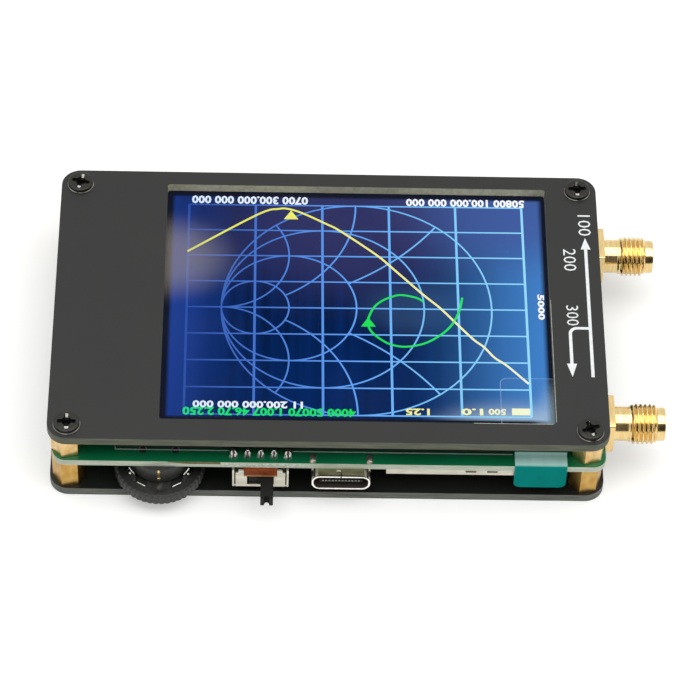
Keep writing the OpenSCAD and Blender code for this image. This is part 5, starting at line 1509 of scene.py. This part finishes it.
# Battery leads: smooth wires from the guard circuit to the plug
LEAD_R, LEAD_PITCH = 0.5, 1.5
guard_low, guard_high = extent("battery_guard")
plug_low, plug_high = extent("battery_plug")
for colour, side in (("red", 1), ("black", -1)):
    node = f"battery_{colour}_lead"
    x = extent(node)[0].x + LEAD_R
    y = (plug_low.y + plug_high.y) / 2 - side * LEAD_PITCH / 2
    z0, z1 = (guard_low.z + guard_high.z) / 2, (plug_low.z + plug_high.z) / 2
    rise = z1 - z0
    route = [
        (x, guard_high.y, z0), (x, guard_high.y + 1, z0), (x + 0.4, y - 1.2, z0 + 0.3 * rise),
        (x + 1.5, y - 0.2, z0 + 0.5 * rise), (x + 3, y, z0 + 0.8 * rise),
        (plug_low.x - 1, y, z1), (plug_low.x, y, z1),
    ]
    lead = tube(smooth_path(route, 6), LEAD_R)
    piece(f"{colour}_lead", lead, stands_for=[node], slot=f"{colour}_insulation")


# Camera at the photograph's angle
camera_data = bpy.data.cameras.new("camera")
camera_data.sensor_width = 36
camera_data.lens = 179.68
camera_data.clip_start = 0.01
camera_data.clip_end = 20
camera = bpy.data.objects.new("camera", camera_data)
camera.location = Vector((-9.291, -346.13, 434.793)) * MM
camera.rotation_euler = [math.radians(a) for a in (38.6955, -1.5622, -0.1772)]
bpy.context.scene.collection.objects.link(camera)
bpy.context.scene.camera = camera


# Light: a pale room, soft lamps, and a dark card that only reflections see


def any_seen(tree):
    """One where the camera, a mirror or a glass looks at the surface, and nought for other light."""
    path = add(tree, "LightPath")
    seen = path.outputs["Is Camera Ray"]
    for other in ("Is Glossy Ray", "Is Transmission Ray"):
        seen = add(tree, "Math", {0: seen, 1: path.outputs[other]}, operation="MAXIMUM").outputs[0]
    return seen


world = bpy.data.worlds.new("studio")
bpy.context.scene.world = world
world.use_nodes = True
tree = world.node_tree
tree.nodes.clear()
ROOM_LIGHT = 0.38
dim = add(tree, "Background", {"Color": (1, 1, 1, 1), "Strength": ROOM_LIGHT})
bright = add(tree, "Background", {"Color": (1, 1, 1, 1), "Strength": 1})
room = add(tree, "MixShader", {0: any_seen(tree), 1: dim.outputs[0], 2: bright.outputs[0]})
add(tree, "OutputWorld", {0: room.outputs[0]})

# Each lamp's place, the place it faces, its width, depth and power
LAMPS = [
    ("softbox", (0, -100, 700), (0, -100, 0), 900, 740, 4.4),
    ("fill", (430, -160, 480), (0, 0, 0), 380, 380, 0.5),
]
for name, at, aim, width, depth, power in LAMPS:
    lamp = bpy.data.lights.new(name, "AREA")
    lamp.shape = "RECTANGLE"
    lamp.size = width * MM
    lamp.size_y = depth * MM
    lamp.energy = power
    item = bpy.data.objects.new(name, lamp)
    item.location = Vector(at) * MM
    item.rotation_euler = (Vector(aim) - Vector(at)).to_track_quat("-Z", "Y").to_euler()
    bpy.context.scene.collection.objects.link(item)


def stage_sheet(name, corners, finish):
    """A flat sheet through four corners that is part of the studio."""
    mesh = bpy.data.meshes.new(name)
    mesh.from_pydata([Vector(c) * MM for c in corners], [], [(0, 1, 2, 3)])
    mesh.materials.append(finish)
    item = bpy.data.objects.new(name, mesh)
    bpy.context.scene.collection.objects.link(item)
    return item


def pale_floor():
    """Matt white board: pale where it is lit, and white to the camera except in the object's shadow."""
    made, tree, shader, coords = material("matt_white_board", {
        "Base Color": linear("#e4e4e2"), "Roughness": 0.9, "Specular IOR Level": 0.0,
        "Emission Color": (1, 1, 1, 1),
    })
    glow = add(tree, "Math", {0: any_seen(tree), 1: 0.35}, operation="MULTIPLY")
    tree.links.new(glow.outputs[0], shader.inputs["Emission Strength"])
    return made


FLOOR_HALF, FLOOR_Z = 1500, -0.05
floor_corners = [(x * FLOOR_HALF, y * FLOOR_HALF, FLOOR_Z) for x, y in ((-1, -1), (1, -1), (1, 1), (-1, 1))]
stage_sheet("floor", floor_corners, pale_floor())

card_finish = material("dark_card", {"Base Color": linear("#1a1712"), "Roughness": 0.9})[0]
CARD_Y, CARD_X0, CARD_X1, CARD_Z0, CARD_Z1 = -600, 60, 1100, 0, 890
card = stage_sheet("front_card", [(CARD_X0, CARD_Y, CARD_Z0), (CARD_X1, CARD_Y, CARD_Z0),
                                  (CARD_X1, CARD_Y, CARD_Z1), (CARD_X0, CARD_Y, CARD_Z1)], card_finish)
card.visible_camera = False
card.visible_diffuse = False
card.visible_transmission = False
card.visible_shadow = False

bpy.context.scene.view_settings.view_transform = "Standard"
